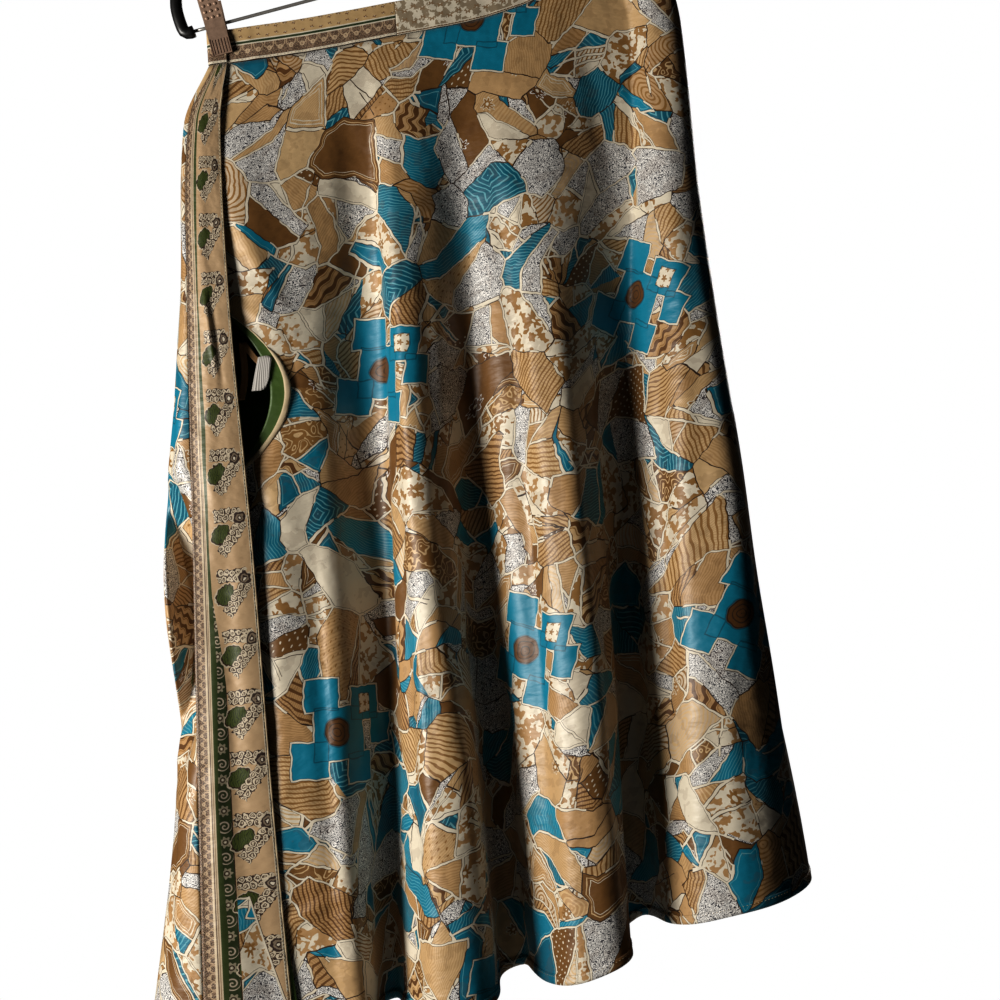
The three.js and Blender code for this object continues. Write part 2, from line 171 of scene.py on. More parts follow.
def course(folds, counts, t):
    """The cloth's course at level t, and for each point its place among the folds, 0 at the first."""
    points, places = [], []
    for i in range(len(folds) - 1):
        (a, along_a), (b, along_b) = fold_at(folds[i], t), fold_at(folds[i + 1], t)
        reach = np.linalg.norm(b - a)
        c1, c2 = a + along_a * reach * folds[i][5], b - along_b * reach * folds[i + 1][4]
        u = np.linspace(0, 1, 81)[:, None]
        bend = (1 - u) ** 3 * a + 3 * u * (1 - u) ** 2 * c1 + 3 * u**2 * (1 - u) * c2 + u**3 * b
        run = run_along(bend)
        share = np.linspace(0, 1, counts[i] + 1)
        steps = np.stack([np.interp(share * run[-1], run, bend[:, k]) for k in (0, 1)], 1)
        first = 1 if i else 0
        points.append(steps[first:])
        places.append((i + share)[first:])
    return np.concatenate(points), np.concatenate(places)


def cloth_grid(folds, counts, rows):
    """Points of the cloth, grid[row, column], with each column's place among the folds."""
    waist, places = course(folds, counts, 0)
    hem, _ = course(folds, counts, 1)
    top = smooth(*SEAM_HEIGHT, waist[:, 0]) - SEAM
    bottom = smooth(*HEM_HEIGHT, hem[:, 0])
    grid = np.zeros((len(rows), len(places), 3))
    for r, t in enumerate(rows):
        grid[r, :, :2] = course(folds, counts, t)[0]
        grid[r, :, 2] = top + (bottom - top) * t
    return grid, places


def flat_cut(grid, rows, anchor):
    """Each point's place on the flat cloth, a sector of a ring. The column anchor runs straight down."""
    run = run_along(grid)
    run = run - run[:, [anchor]]
    spread = (run[-1, -1] - run[-1, 0]) - (run[0, -1] - run[0, 0])
    angle = max(spread / CLOTH_LENGTH, LEAST_FLARE)
    radius = (run[0, -1] - run[0, 0]) / angle + np.asarray(rows) * CLOTH_LENGTH
    turned = run / radius[:, None]
    return np.stack([radius[:, None] * np.sin(turned), -radius[:, None] * np.cos(turned)], 2)


def outward(grid):
    along = np.gradient(grid, axis=1)
    down = np.gradient(grid, axis=0)
    n = np.cross(down, along)
    return n / (np.linalg.norm(n, axis=2, keepdims=True) + 1e-9)


RIPPLES = 7
RIPPLE_HEIGHT = 0.55
RIPPLE_LENGTHS = (70, 190)
STILL_EDGE = 22  # the cloth beside an edge keeps the solids' course over this width


def creased(grid, flat, rows, places, creases, seed):
    """Pushes the cloth out or in along soft creases, and a little everywhere in long ripples.

    Each crease is (place, level) to (place, level), its width and its height in millimetres.
    """
    rows = np.asarray(rows)
    push = np.zeros(grid.shape[:2])

    def spot(place, level):
        c = np.interp(place, places, np.arange(len(places)))
        r = np.interp(level, rows, np.arange(len(rows)))
        c0, r0 = int(min(c, len(places) - 2)), int(min(r, len(rows) - 2))
        fc, fr = c - c0, r - r0
        return (
            (1 - fr) * ((1 - fc) * flat[r0, c0] + fc * flat[r0, c0 + 1])
            + fr * ((1 - fc) * flat[r0 + 1, c0] + fc * flat[r0 + 1, c0 + 1]))

    for (p0, t0), (p1, t1), width, height in creases:
        a, b = spot(p0, t0), spot(p1, t1)
        length = np.linalg.norm(b - a)
        q = np.clip(((flat - a) @ (b - a)) / length**2, 0, 1)
        away = np.linalg.norm(flat - (a + q[..., None] * (b - a)), axis=2)
        fade = 0.35 + 0.65 * np.sin(np.pi * q)
        push += height * fade * np.exp(-(away / width) ** 2)
    rng = np.random.default_rng(seed)
    for _ in range(RIPPLES):
        wave = rng.uniform(*RIPPLE_LENGTHS)
        lean = rng.uniform(-0.5, 0.5)
        phase = rng.uniform(0, 2 * math.pi)
        along = flat[..., 0] * math.cos(lean) + 0.35 * flat[..., 1] * math.sin(lean)
        push += RIPPLE_HEIGHT * np.sin(2 * math.pi * along / wave + phase)
    run = run_along(grid)
    edge = np.minimum(run, run[:, [-1]] - run)
    push *= ramp(0, STILL_EDGE, edge) * ramp(0.0, 0.1, rows)[:, None]
    return grid + outward(grid) * push[..., None]


# ------------------------------------------------- making meshes
def linked(name, mesh, materials):
    for material in materials:
        mesh.materials.append(material)
    obj = bpy.data.objects.new(name, mesh)
    bpy.context.scene.collection.objects.link(obj)
    return obj


def placed(obj, slot, *nodes):
    """A piece of the row's one body, which replaces its nodes. Its slot is not used."""
    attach(obj, "root")
    if nodes:
        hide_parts(*nodes)
    return obj


def grid_mesh(name, grid, uvs, materials, thickness=CLOTH):
    """A cloth shell over a grid of points. uvs is {layer: grid of pairs}. The last material is the inside."""
    rows, columns = grid.shape[:2]
    index = np.arange(rows * columns).reshape(rows, columns)
    faces = np.stack([index[:-1, :-1], index[1:, :-1], index[1:, 1:], index[:-1, 1:]], 2).reshape(-1, 4)
    mesh = bpy.data.meshes.new(name)
    mesh.from_pydata((grid.reshape(-1, 3) * MM).tolist(), [], faces.tolist())
    corners = faces.reshape(-1)
    for layer, uv in uvs.items():
        data = mesh.uv_layers.new(name=layer).data
        data.foreach_set("uv", uv.reshape(-1, 2)[corners].astype(np.float32).ravel())
    mesh.polygons.foreach_set("use_smooth", [True] * len(mesh.polygons))
    obj = linked(name, mesh, materials)
    shell = obj.modifiers.new("thickness", "SOLIDIFY")
    shell.thickness = thickness * MM
    shell.offset = 0
    shell.material_offset = len(materials) - 1
    shell.use_quality_normals = True
    return obj


def plain_mesh(name, verts, faces, material, smooth_faces=True):
    mesh = bpy.data.meshes.new(name)
    mesh.from_pydata([tuple(v) for v in verts], [], faces)
    mesh.polygons.foreach_set("use_smooth", [smooth_faces] * len(mesh.polygons))
    return linked(name, mesh, [material])


def catmull(points, steps):
    """Equally spaced points along a smooth curve through the given points."""
    p = np.asarray(points, float)
    p = np.vstack([2 * p[0] - p[1], p, 2 * p[-1] - p[-2]])
    fine = []
    for i in range(1, len(p) - 2):
        u = np.linspace(0, 1, 24, endpoint=False)[:, None]
        fine.append(0.5 * (
            2 * p[i] + (p[i + 1] - p[i - 1]) * u + (2 * p[i - 1] - 5 * p[i] + 4 * p[i + 1] - p[i + 2]) * u**2
            + (3 * p[i] - p[i - 1] - 3 * p[i + 1] + p[i + 2]) * u**3))
    fine = np.vstack(fine + [p[-2][None]])
    run = run_along(fine)
    at = np.linspace(0, run[-1], steps + 1)
    return np.stack([np.interp(at, run, fine[:, k]) for k in range(fine.shape[1])], 1)


def tube(rings):
    """The points and faces of a closed tube through rings of points."""
    count, sides = len(rings), len(rings[0])
    faces = [tuple(range(sides)), tuple((count - 1) * sides + j for j in reversed(range(sides)))]
    for i in range(count - 1):
        for j in range(sides):
            k = (j + 1) % sides
            faces.append((i * sides + j, (i + 1) * sides + j, (i + 1) * sides + k, i * sides + k))
    return [point for points in rings for point in points], faces


def ring(centre, one_way, other_way, sides):
    """Points round a centre. one_way and other_way are its two half axes."""
    turns = [2 * math.pi * j / sides for j in range(sides)]
    return [centre + one_way * math.cos(turn) + other_way * math.sin(turn) for turn in turns]


def rod_data(line, in_plane, in_depth, sides):
    """A rod with rounded ends along a line in the plane y = 0."""
    line = np.asarray(line, float)
    tangent = unit(np.gradient(line, axis=0))
    across = np.stack([-tangent[:, 2], np.zeros(len(line)), tangent[:, 0]], 1) * in_plane
    depth = np.array([0, in_depth, 0])
    ends = [ring(line[i], across[i] * ROUNDED_END, depth * ROUNDED_END, sides) for i in (0, -1)]
    return tube([ends[0], *[ring(p, a, depth, sides) for p, a in zip(line, across)], ends[1]])


def joined(pieces):
    verts, faces = [], []
    for points, around in pieces:
        base = len(verts)
        verts += [np.asarray(point, float) for point in points]
        faces += [tuple(i + base for i in face) for face in around]
    return verts, faces


# ------------------------------------------------- materials
def linear(r, g, b):
    """A colour for a shader, from one as a screen shows it."""
    parts = [c / 255 for c in (r, g, b)]
    return (*[c / 12.92 if c <= 0.04045 else ((c + 0.055) / 1.055) ** 2.4 for c in parts], 1.0)


class Value:
    """A number that a shader node gives. A sum of values makes the nodes that work it out."""

    def __init__(self, shader, socket):
        self.shader = shader
        self.socket = socket

    def __add__(self, other):
        return self.shader.math("ADD", self, other)

    def __radd__(self, other):
        return self.shader.math("ADD", other, self)

    def __sub__(self, other):
        return self.shader.math("SUBTRACT", self, other)

    def __rsub__(self, other):
        return self.shader.math("SUBTRACT", other, self)

    def __mul__(self, other):
        return self.shader.math("MULTIPLY", self, other)

    def __lt__(self, other):
        return self.shader.math("LESS_THAN", self, other)

    def __gt__(self, other):
        return self.shader.math("GREATER_THAN", self, other)

    def __abs__(self):
        return self.shader.math("ABSOLUTE", self)


class Shader:
    """A material under construction, with short calls for its nodes. A mask is a value of 0 or 1."""

    def __init__(self, name, roughness, metallic=0.0, sheen=0.0, coat=0.0):
        self.material = bpy.data.materials.new(name)
        self.material.use_nodes = True
        self.tree = self.material.node_tree
        self.set("Roughness", roughness)
        self.set("Metallic", metallic)
        self.set("Sheen Weight", sheen)
        self.set("Coat Weight", coat)

    def set(self, socket, value):
        self.feed(self.tree.nodes["Principled BSDF"].inputs[socket], value)

    def feed(self, socket, value):
        if isinstance(value, Value):
            value = value.socket
        if isinstance(value, bpy.types.NodeSocket):
            self.tree.links.new(value, socket)
        else:
            socket.default_value = value

    def node(self, kind, inputs=None, **settings):
        """A new node with its settings and its inputs, by name or number."""
        made = self.tree.nodes.new(kind)
        for name, setting in settings.items():
            setattr(made, name, setting)
        for socket, value in (inputs or {}).items():
            self.feed(made.inputs[socket], value)
        return made

    def math(self, operation, a, b=None):
        inputs = {0: a} if b is None else {0: a, 1: b}
        return Value(self, self.node("ShaderNodeMath", inputs, operation=operation).outputs[0])

    def least(self, a, b):
        return self.math("MINIMUM", a, b)

    def most(self, a, b):
        return self.math("MAXIMUM", a, b)

    def sin(self, a):
        return self.math("SINE", a)

    def waves(self, a, length):
        return self.sin(a * (2 * math.pi / length))

    def within(self, a, low, high):
        return (a > low) * (a < high)

    def wrap(self, a, period):
        """Repeats a over a period, from -period/2 to period/2."""
        return self.math("FLOORED_MODULO", a + period / 2, period) - period / 2

    def line(self, a, period, half_width):
        """A mask of lines along a, one in each period."""
        return abs(self.wrap(a, period)) < half_width

    def length(self, x, y):
        return self.math("SQRT", x * x + y * y)

    def turn(self, x, y, angle):
        """The point x, y turned by an angle, which is a number in radians or a value."""
        if isinstance(angle, Value):
            c, s = self.math("COSINE", angle), self.sin(angle)
        else:
            c, s = math.cos(angle), math.sin(angle)
        return x * c - y * s, x * s + y * c

    def mix(self, factor, a, b):
        return self.node("ShaderNodeMix", {0: factor, 6: a, 7: b}, data_type="RGBA").outputs[2]

    def layers(self, colour, *coats):
        """The colour under coats of paint, each a mask and its colour."""
        for mask, paint in coats:
            colour = self.mix(mask, colour, paint)
        return colour

    def uv(self, layer, scale=1.0):
        """The point x, y of a UV layer, times scale."""
        x, y, _ = self.split(self.node("ShaderNodeUVMap", uv_map=layer).outputs[0])
        return (x * scale, y * scale) if scale != 1 else (x, y)

    def vector(self, x, y, z=0.0):
        return self.node("ShaderNodeCombineXYZ", {0: x, 1: y, 2: z}).outputs[0]

    def place(self, x_mm, y_mm, z=0.0):
        """A point of the cloth in metres, for a noise."""
        return self.vector(x_mm * MM, y_mm * MM, z)

    def split(self, vector):
        return [Value(self, part) for part in self.node("ShaderNodeSeparateXYZ", {0: vector}).outputs[:3]]

    def noise(self, vector, scale, detail=2.0, roughness=0.5):
        inputs = {"Vector": vector, "Scale": scale, "Detail": detail, "Roughness": roughness}
        return Value(self, self.node("ShaderNodeTexNoise", inputs, noise_dimensions="3D").outputs[0])

    def voronoi(self, vector, feature):
        inputs = {"Vector": vector, "Scale": 1.0, "Randomness": 1.0}
        return self.node("ShaderNodeTexVoronoi", inputs, voronoi_dimensions="2D", feature=feature)

    def chance(self, x, y, z):
        """Three random numbers for a place."""
        inputs = {"Vector": self.vector(x, y, z)}
        noise = self.node("ShaderNodeTexWhiteNoise", inputs, noise_dimensions="3D")
        return self.split(noise.outputs["Color"])

    def bump(self, height, distance, strength, under=None):
        inputs = {"Distance": distance, "Strength": strength, "Height": height}
        if under is not None:
            inputs["Normal"] = under
        return self.node("ShaderNodeBump", inputs).outputs[0]

    def object_space(self):
        return self.node("ShaderNodeTexCoord").outputs["Object"]


TAN = linear(186, 148, 102)
SAND = linear(208, 178, 134)
CREAM = linear(224, 214, 194)
WHITE = linear(234, 231, 226)
OCHRE = linear(152, 112, 60)
BROWN = linear(104, 68, 30)
DARK = linear(58, 38, 22)
SLATE = linear(62, 62, 70)
TEAL = linear(0, 132, 160)
DEEP_TEAL = linear(6, 98, 120)
PALE_TEAL = linear(104, 172, 184)
GREEN = linear(96, 128, 52)
DARK_GREEN = linear(46, 62, 28)
OLIVE = linear(66, 78, 36)
TAUPE = linear(158, 142, 118)
GREY = linear(126, 112, 98)
PALE = linear(204, 190, 166)
UMBER = linear(62, 46, 36)

# Lengths in the patterns are millimetres on the cloth.
RIB_PITCH, WEFT_PITCH = 0.9, 1.3


def satin_bump(s, x, y):
    """The satin's fine ribs and its slight unevenness."""
    ribs = s.waves(x, RIB_PITCH) * 0.5 + s.waves(y, WEFT_PITCH) * 0.5
    crumple = s.bump(s.noise(s.place(x, y), 34.0), 0.0042, 0.55)
    fine = s.noise(s.place(x * 0.6, y * 1.6), 85.0, 2.0, 0.55)
    return s.bump(ribs, 0.00004, 0.35, s.bump(fine, 0.0011, 0.6, crumple))


def flower(s, x, y, radius, petals, depth):
    """A mask of a flower of so many petals."""
    angle = s.math("ARCTAN2", y, x)
    return s.length(x, y) < radius + s.math("COSINE", angle * float(petals)) * depth


def rosette(s, x, y, radius, petals):
    """A round flower: its petals, the ring in it and its eye, as three masks."""
    r = s.length(x, y)
    petal = flower(s, x, y, radius, petals, radius * 0.2)
    return petal, s.within(r, radius * 0.34, radius * 0.55), r < radius * 0.18


NO_EDGE = 999.0  # farther than any edge


def shards(s, x, y, cell, seed, whole_share, cuts):
    """Straight-edged shards: the cells of a Voronoi net, most of them cut again by straight lines.

    Gives the net, then each shard's centre, its own x and y, the distance to its edge, and its number.
    """
    net = s.vector(x * (1 / cell) + seed, y * (1 / cell) + 2 * seed)
    cx, cy, _ = s.split(s.voronoi(net, "F1").outputs["Position"])
    px, py, _ = s.split(net)
    dx, dy = (px - cx) * cell, (py - cy) * cell
    edge = Value(s, s.voronoi(net, "DISTANCE_TO_EDGE").outputs["Distance"]) * cell
    number = 0.0
    for i in range(cuts):
        lean, off, whole = s.chance(cx, cy, number * 0.37 + (0.3 + i))
        across, _ = s.turn(dx, dy, lean * (2 * math.pi))
        cut = across - (off - 0.5) * (0.4 * cell)
        is_whole = whole < whole_share
        edge = s.least(edge, abs(cut) + is_whole * NO_EDGE)
        number = number * 2.0 + (cut > 0.0) * (1.0 - is_whole)
    return net, (cx, cy), (dx, dy), edge, number


def fills(s, x, y, centre, local, edge, number):
    """The small pattern of one shard, chosen by chance."""
    kind, tilt, shade = s.chance(*centre, number * 3.7 + 1.1)
    dark, _, size = s.chance(*centre, number * 2.3 + 7.9)
    lx, ly = s.turn(*local, tilt * (2 * math.pi))
    middle = s.length(lx, ly)
    place = s.place(x, y, 0.31)
    patchy = s.noise(place, 62.0, 2.0, 0.6)
    hatched = (s.sin(lx * 2.35 + patchy * 9.0) > 0.2) * (size > 0.35)
    plain = s.mix(hatched * 0.6, s.mix(shade, TAN, SAND), s.mix(shade, OCHRE, TAN))
    is_dark = dark < 0.5
    ground = s.mix(is_dark, plain, s.mix(patchy * 0.7, BROWN, OCHRE))
    browns = s.mix(shade, BROWN, OCHRE)
    ochres = s.mix(shade, OCHRE, TAN)
    teals = s.mix(shade, TEAL, DEEP_TEAL)

    def inset(at, wide):
        return s.within(edge, at, at + wide)

    def blots(scale, period, half_width, roughness=0.5):
        return s.line(s.noise(place, scale, 1.0, roughness), period, half_width)

    stripes = s.layers(plain, (s.line(ly, 4.4, 0.85), browns))
    clouds = s.layers(
        CREAM, (s.noise(place, 150.0, 1.0) > 0.52, ochres), (flower(s, lx, ly, 5.2, 7, 1.7), OCHRE),
        (middle < 1.7, CREAM))
    one = s.layers(
        ground, (flower(s, lx, ly, 5.0 + size * 2.6, 8, 1.6), s.mix(is_dark, CREAM, WHITE)),
        (flower(s, lx, ly, 3.9 + size * 2.4, 8, 1.5), s.mix(is_dark, OCHRE, BROWN)), (middle < 1.6, CREAM))
    frame = s.layers(ground, (inset(3.2, 0.9), s.mix(is_dark, CREAM, SAND)), (inset(5.8, 0.6), CREAM))
    vermicelli = s.mix(blots(250.0, 0.13, 0.026), WHITE, SLATE)
    ripples = s.line(s.length(lx - 9.0, ly - size * 11.0), 4.3, 0.85)
    rings = s.mix(ripples, s.mix(shade, TAN, CREAM), s.mix(is_dark, OCHRE, SAND))
    squares = s.mix(s.line(s.most(abs(lx), abs(ly)), 4.6, 0.6), DEEP_TEAL, PALE_TEAL)
    wave = ly + s.waves(lx, 15) * 2.0
    waves = s.layers(
        s.mix(shade, TAN, SAND), (s.line(wave, 11.0, 2.3), BROWN), (s.line(wave + 4.0, 11.0, 0.5), OCHRE))
    dots = s.mix(s.length(s.wrap(lx, 6.4), s.wrap(ly, 6.4)) < 1.0, ground, s.mix(is_dark, OCHRE, CREAM))
    combed = s.mix((s.sin(lx * 2.1 + patchy * 6.0) > 0.62) * 0.8, teals, PALE_TEAL)
    banded = s.mix(inset(2.8, 0.6), teals, PALE_TEAL)
    scrolls = s.mix(blots(88.0, 0.16, 0.022, 0.4), browns, SAND)

    colour = plain
    shares = (
        (0.07, stripes), (0.15, clouds), (0.09, one), (0.05, frame), (0.13, vermicelli), (0.06, rings),
        (0.03, squares), (0.03, waves), (0.05, dots), (0.07, combed), (0.06, banded), (0.03, scrolls),
        (0.06, CREAM))
    low = 1.0 - sum(share for share, _ in shares)
    for share, fill in shares:
        colour = s.mix(s.within(kind, low, low + share), colour, fill)
        low += share
    # the dye is uneven
    return s.mix((patchy > 0.56) * 0.16, colour, BROWN)


BLOCKS = (  # each block's centre and half its size
    (0, 0, 27, 25), (31, 27, 19, 16), (-31, -24, 17, 17), (23, -34, 16, 14), (-18, 38, 17, 15),
    (52, 2, 12, 14))
BLOCKS_REPEAT = (322.0, 318.0)
BLOCKS_SHIFT = 161.0  # of each row past the one before it
BLOCKS_LEAN = 0.34
PANE = (31.0, 27.0)


def stepped_blocks(s, x, y):
    """Stepped blocks with a disc and a pane, which repeat: their colour and the distance outside them."""
    wide, high = BLOCKS_REPEAT
    row = s.math("FLOOR", (y + high / 2) * (1 / high))
    bx, by = s.turn(s.wrap(x + row * BLOCKS_SHIFT, wide), s.wrap(y, high), BLOCKS_LEAN)
    reach = lines = None
    for cx, cy, half_wide, half_high in BLOCKS:
        block = s.most(abs(bx - cx) - half_wide, abs(by - cy) - half_high)
        line = abs(block) < 0.6
        reach = s.least(reach, block) if reach else block
        lines = s.most(lines, line) if lines else line
    disc = s.length(bx + 4.0, by - 2.0)
    px, py = bx - PANE[0], by - PANE[1]
    pane = s.most(abs(px), abs(py))
    sprig = flower(s, s.wrap(px, 8.6), s.wrap(py, 8.6), 2.4, 5, 0.9)
    rings = s.mix(s.line(disc, 4.2, 0.5), BROWN, DARK)
    colour = s.layers(
        TEAL, (lines, DEEP_TEAL), (disc < 14.6, DEEP_TEAL), (disc < 13.4, rings),
        (pane < 9.6, DEEP_TEAL), (pane < 8.6, CREAM), (sprig * (pane < 8.6), OCHRE))
    return colour, reach


SHARD, LARGE_SHARD = 44.0, 50.0
LAID_SHARE = 0.36  # of the large shards, how many are laid over the others


def patchwork(s, x, y):
    """A crazy patchwork: shards, larger shards laid over some of them, and stepped blocks."""
    # kinks in the lines, so that the shards have sharp and inner corners too
    drift = [s.noise(s.place(x, y, z), 70.0, 1.0) for z in (5.1, 8.7)]
    x, y = (at + (d - 0.5) * 5.5 for at, d in zip((x, y), drift))
    kx = x + abs(s.wrap(y, 176.0)) * 0.34
    ky = y + abs(s.wrap(x, 142.0)) * 0.42
    _, *shard = shards(s, kx, ky, SHARD, 3.3, 0.2, 2)
    net, *large = shards(s, kx, ky, LARGE_SHARD, 11.7, 0.35, 1)
    edge, top_edge = shard[2], large[2]
    ox, oy, _ = s.split(s.voronoi(net, "F2").outputs["Position"])
    on_top = s.chance(*large[0], 5.5)[0] < LAID_SHARE
    near_top = s.chance(ox, oy, 5.5)[0] < LAID_SHARE
    under_edge = s.least(edge, top_edge + (1.0 - near_top) * NO_EDGE)
    edge = on_top * top_edge + (1.0 - on_top) * under_edge
    blocks, reach = stepped_blocks(s, x, y)
    # the lines between shards: dark and thin, with a cream middle along most of them
    lit = s.noise(s.place(x, y, 2.2), 21.0, 1.0) > 0.46
    return s.layers(
        fills(s, x, y, *shard), (on_top, fills(s, x, y, *large)),
        (edge < 0.5 + lit * 0.9, DARK), (lit * (edge < 0.95), CREAM),
        (reach < 2.0, DARK), (reach < 1.5, CREAM), (reach < 0.0, blocks))


def print_material():
    s = Shader("patchwork_satin", 0.44, sheen=0.12)
    x, y = s.uv("Cloth", 1000.0)
    s.set("Base Color", patchwork(s, x, y))
    s.set("Normal", satin_bump(s, x, y))
    return s.material


def braid(s, along, across, pitch, tall):
    """A braid of small scallops and beads, worn and mottled. across runs from 0 to tall."""
    where = s.vector(along, across)
    ax = s.wrap(along + (s.noise(where, 0.35, 1.0) - 0.5) * 2.2, pitch)
    ay = across - tall * 0.5
    scallop = abs(s.length(ax, ay - tall * 0.35) - pitch * 0.42) < 0.5
    bead = s.within(s.length(ax, ay), pitch * 0.1, pitch * 0.22)
    return s.layers(
        linear(136, 108, 86), (s.noise(where, 0.8) > 0.5, linear(78, 60, 48)),
        (scallop, linear(186, 160, 130)), (bead, linear(198, 174, 144)),
        (s.noise(where, 1.5, 1.0) > 0.62, linear(208, 186, 154)))


BORDER_ACROSS = 66.0  # the border's width in its own print
MOTIF_PITCH = 58.0
BLOSSOM = 6.4  # the pitch of the small blossoms
BAND_START, BAND_END = 16.0, 29.6  # of the green band, from the seam
CURL = 6.4


def border_motif(s, x, y, cloth):
    """A leaf under two rows of small blossoms and a large one, on the cloth; also the mask of the leaf."""
    lx, ly = s.turn(x + 8.0, y - 1.0, 0.7)
    leaf = s.length(lx * 0.72, ly) - (7.4 + lx * (-0.14))
    veins = s.mix(s.line(lx + ly, 3.0, 0.45), linear(78, 88, 36), linear(46, 54, 24))
    colour = s.layers(cloth, (leaf < 1.6, PALE), (leaf < 0.8, DARK), (leaf < 0.0, veins))
    # each row: how far along it and off it, and where it starts and ends
    slant, off_slant = s.turn(x - 3.0, y - 6.0, -2.285)
    for along, off, start, end in ((x, y + 15.5, -17.0, 14.0), (slant, off_slant, -19.0, 20.0)):
        row = (abs(off) < BLOSSOM) * s.within(along, start, end)
        r = s.length(s.wrap(along + (off > 0.0) * (BLOSSOM / 2), BLOSSOM), abs(off) - 3.1)
        colour = s.layers(
            colour, ((r < 4.0) * row, UMBER), (s.within(r, 1.7, 2.9) * row, linear(214, 200, 176)),
            ((r < 1.7) * row, linear(96, 80, 64)), ((r < 0.8) * row, PALE))
    hx, hy = x - 12.5, y + 12.0
    head, head_ring, head_eye = rosette(s, hx, hy, 7.6, 9)
    colour = s.layers(
        colour, (head, PALE), (s.length(hx, hy) < 6.2, linear(62, 46, 38)),
        (head * head_ring, linear(140, 124, 104)), (head_eye, CREAM))
    return colour, leaf < 1.6


def green_band(s, across, down):
    """A band of curls and small rosettes in turn."""
    x, y = across - 23.2, s.wrap(down + 12.0, MOTIF_PITCH / 2)
    curl = s.length(x, y)
    spiral = abs(s.wrap(curl + s.math("ARCTAN2", y, x) * 0.54, 3.4))
    bloom, bloom_ring, eye = rosette(s, x, s.wrap(y + MOTIF_PITCH / 4, MOTIF_PITCH / 2), 4.6, 7)
    green = s.mix(s.noise(s.vector(across, down), 0.12), linear(60, 72, 32), linear(42, 50, 26))
    return s.layers(
        green, ((curl < CURL) * (spiral < 0.9), GREY), ((curl < CURL) * (spiral < 0.4), PALE),
        (bloom, linear(160, 150, 126)), (bloom * bloom_ring, DARK), (eye, CREAM), (across > BAND_END, DARK))


def border_material():
    """The border's print. across runs from the seam to the free edge, about a millimetre a unit."""
    s = Shader("border_satin", 0.46, sheen=0.12)
    u, v = s.uv("Band")
    _, level = s.uv("BandSize")
    across, down = u * BORDER_ACROSS, v * 1000.0
    ground = s.mix(s.noise(s.vector(across, down), 0.05), linear(188, 158, 122), linear(202, 174, 138))

    # low down, the motifs make room for the green band
    inputs = {"Value": level, "From Min": 0.5, "From Max": 0.66}
    lowered = Value(s, s.node("ShaderNodeMapRange", inputs, interpolation_type="SMOOTHSTEP").outputs[0])
    shake = [(s.noise(s.vector(across, down, z), 0.22, 1.0) - 0.5) * 5.6 for z in (1.0, 6.0)]
    x = across - 42.5 - lowered * 5.5 + shake[0]
    y = s.wrap(down, MOTIF_PITCH) + shake[1]
    colour, leaf = border_motif(s, x, y, ground)
    in_band = (across > BAND_START) * (across < BAND_START + 0.4 + lowered * 14.0)
    narrow = 18.6 + s.math("PINGPONG", down * (1 / 120.0), 1.0) * 3.4
    colour = s.layers(
        colour, (in_band * (1.0 - leaf), green_band(s, across, down)),
        ((across > BAND_START) * (across < narrow), OLIVE))

    # at the hem, the patchwork takes the ground's place
    cut = (0.62 + (level - 0.85) * 3.1 - u) * 62.0
    low = (level > 0.852) * ((across > 30.6) * (cut > 0.0))
    quilt = s.layers(patchwork(s, *s.uv("Cloth", 1000.0)), (cut < 1.9, CREAM), (cut < 0.5, DARK))
    colour = s.layers(
        colour, (low, quilt), (across < 16.2, linear(208, 190, 162)),
        (s.within(across, 12.4, 13.5), linear(104, 84, 66)),
        (s.within(across, 14.2, 15.0), linear(150, 126, 100)),
        (across < 10.4, braid(s, down, across, 8.0, 10.4)),
        ((across > 63.4) * (level < 0.95), CREAM), ((across > 64.8) * (level < 0.7), DARK_GREEN))
    s.set("Base Color", colour)
    s.set("Normal", satin_bump(s, across, down))
    return s.material


def sprinkled(s, x, y, row, pitch):
    """Places of small flowers in rows, every other one shifted."""
    return s.wrap(x + s.math("FLOOR", y * (1 / row)) * (pitch / 2), pitch), s.wrap(y, row)


def waistband_print(s, x, y, where):
    """The printed length: flowers along the top, a green line, a braid and the lower edge's lines."""
    fx, fy = sprinkled(s, x, y, 8.0, 18.0)
    return s.layers(
        linear(208, 180, 134), (s.noise(where, 60.0), linear(188, 156, 110)),
        (flower(s, fx, fy, 1.7, 5, 0.7), linear(120, 84, 52)), (s.length(fx, fy) < 0.6, CREAM),
        (y < 21.0, CREAM), (s.within(y, 17.6, 19.8), DARK_GREEN),
        (y < 16.4, braid(s, x, y - 3.2, 11.0, 13.2)), (y < 3.2, CREAM), (y < 0.9, DARK))


def waistband_mottled(s, x, y, where):
    """The plainer length: mottled, with flowers, a leaf here and there and the lower edge's lines."""
    fx, fy = sprinkled(s, x, y, 12.0, 18.0)
    leaf = s.length((s.wrap(x, 150.0) + 40.0) * 0.5, y - 30.0) < 4.5
    return s.layers(
        TAUPE, (s.noise(where, 95.0, 3.0, 0.6) > 0.5, CREAM),
        (flower(s, fx, fy, 3.1, 6, 1.0), linear(150, 124, 94)), (s.length(fx, fy) < 1.0, CREAM),
        (leaf, GREEN), (y < 3.4, CREAM), (s.within(y, 1.2, 2.3), BROWN))


def waistband_material(pattern):
    s = Shader(pattern.__name__, 0.5, sheen=0.1)
    u, v = s.uv("Band")
    x, y = u * 1000.0, v * float(WAISTBAND_HEIGHT)
    s.set("Base Color", pattern(s, x, y, s.vector(u, v * (WAISTBAND_HEIGHT * MM))))
    s.set("Normal", satin_bump(s, x, y))
    return s.material


def plain_cloth(name, colour, other, roughness):
    s = Shader(name, roughness, sheen=0.12)
    x, y = s.uv("Cloth", 1000.0)
    s.set("Base Color", s.mix(s.noise(s.place(x, y), 26.0, 3.0, 0.6), colour, other))
    s.set("Normal", satin_bump(s, x, y))
    return s.material


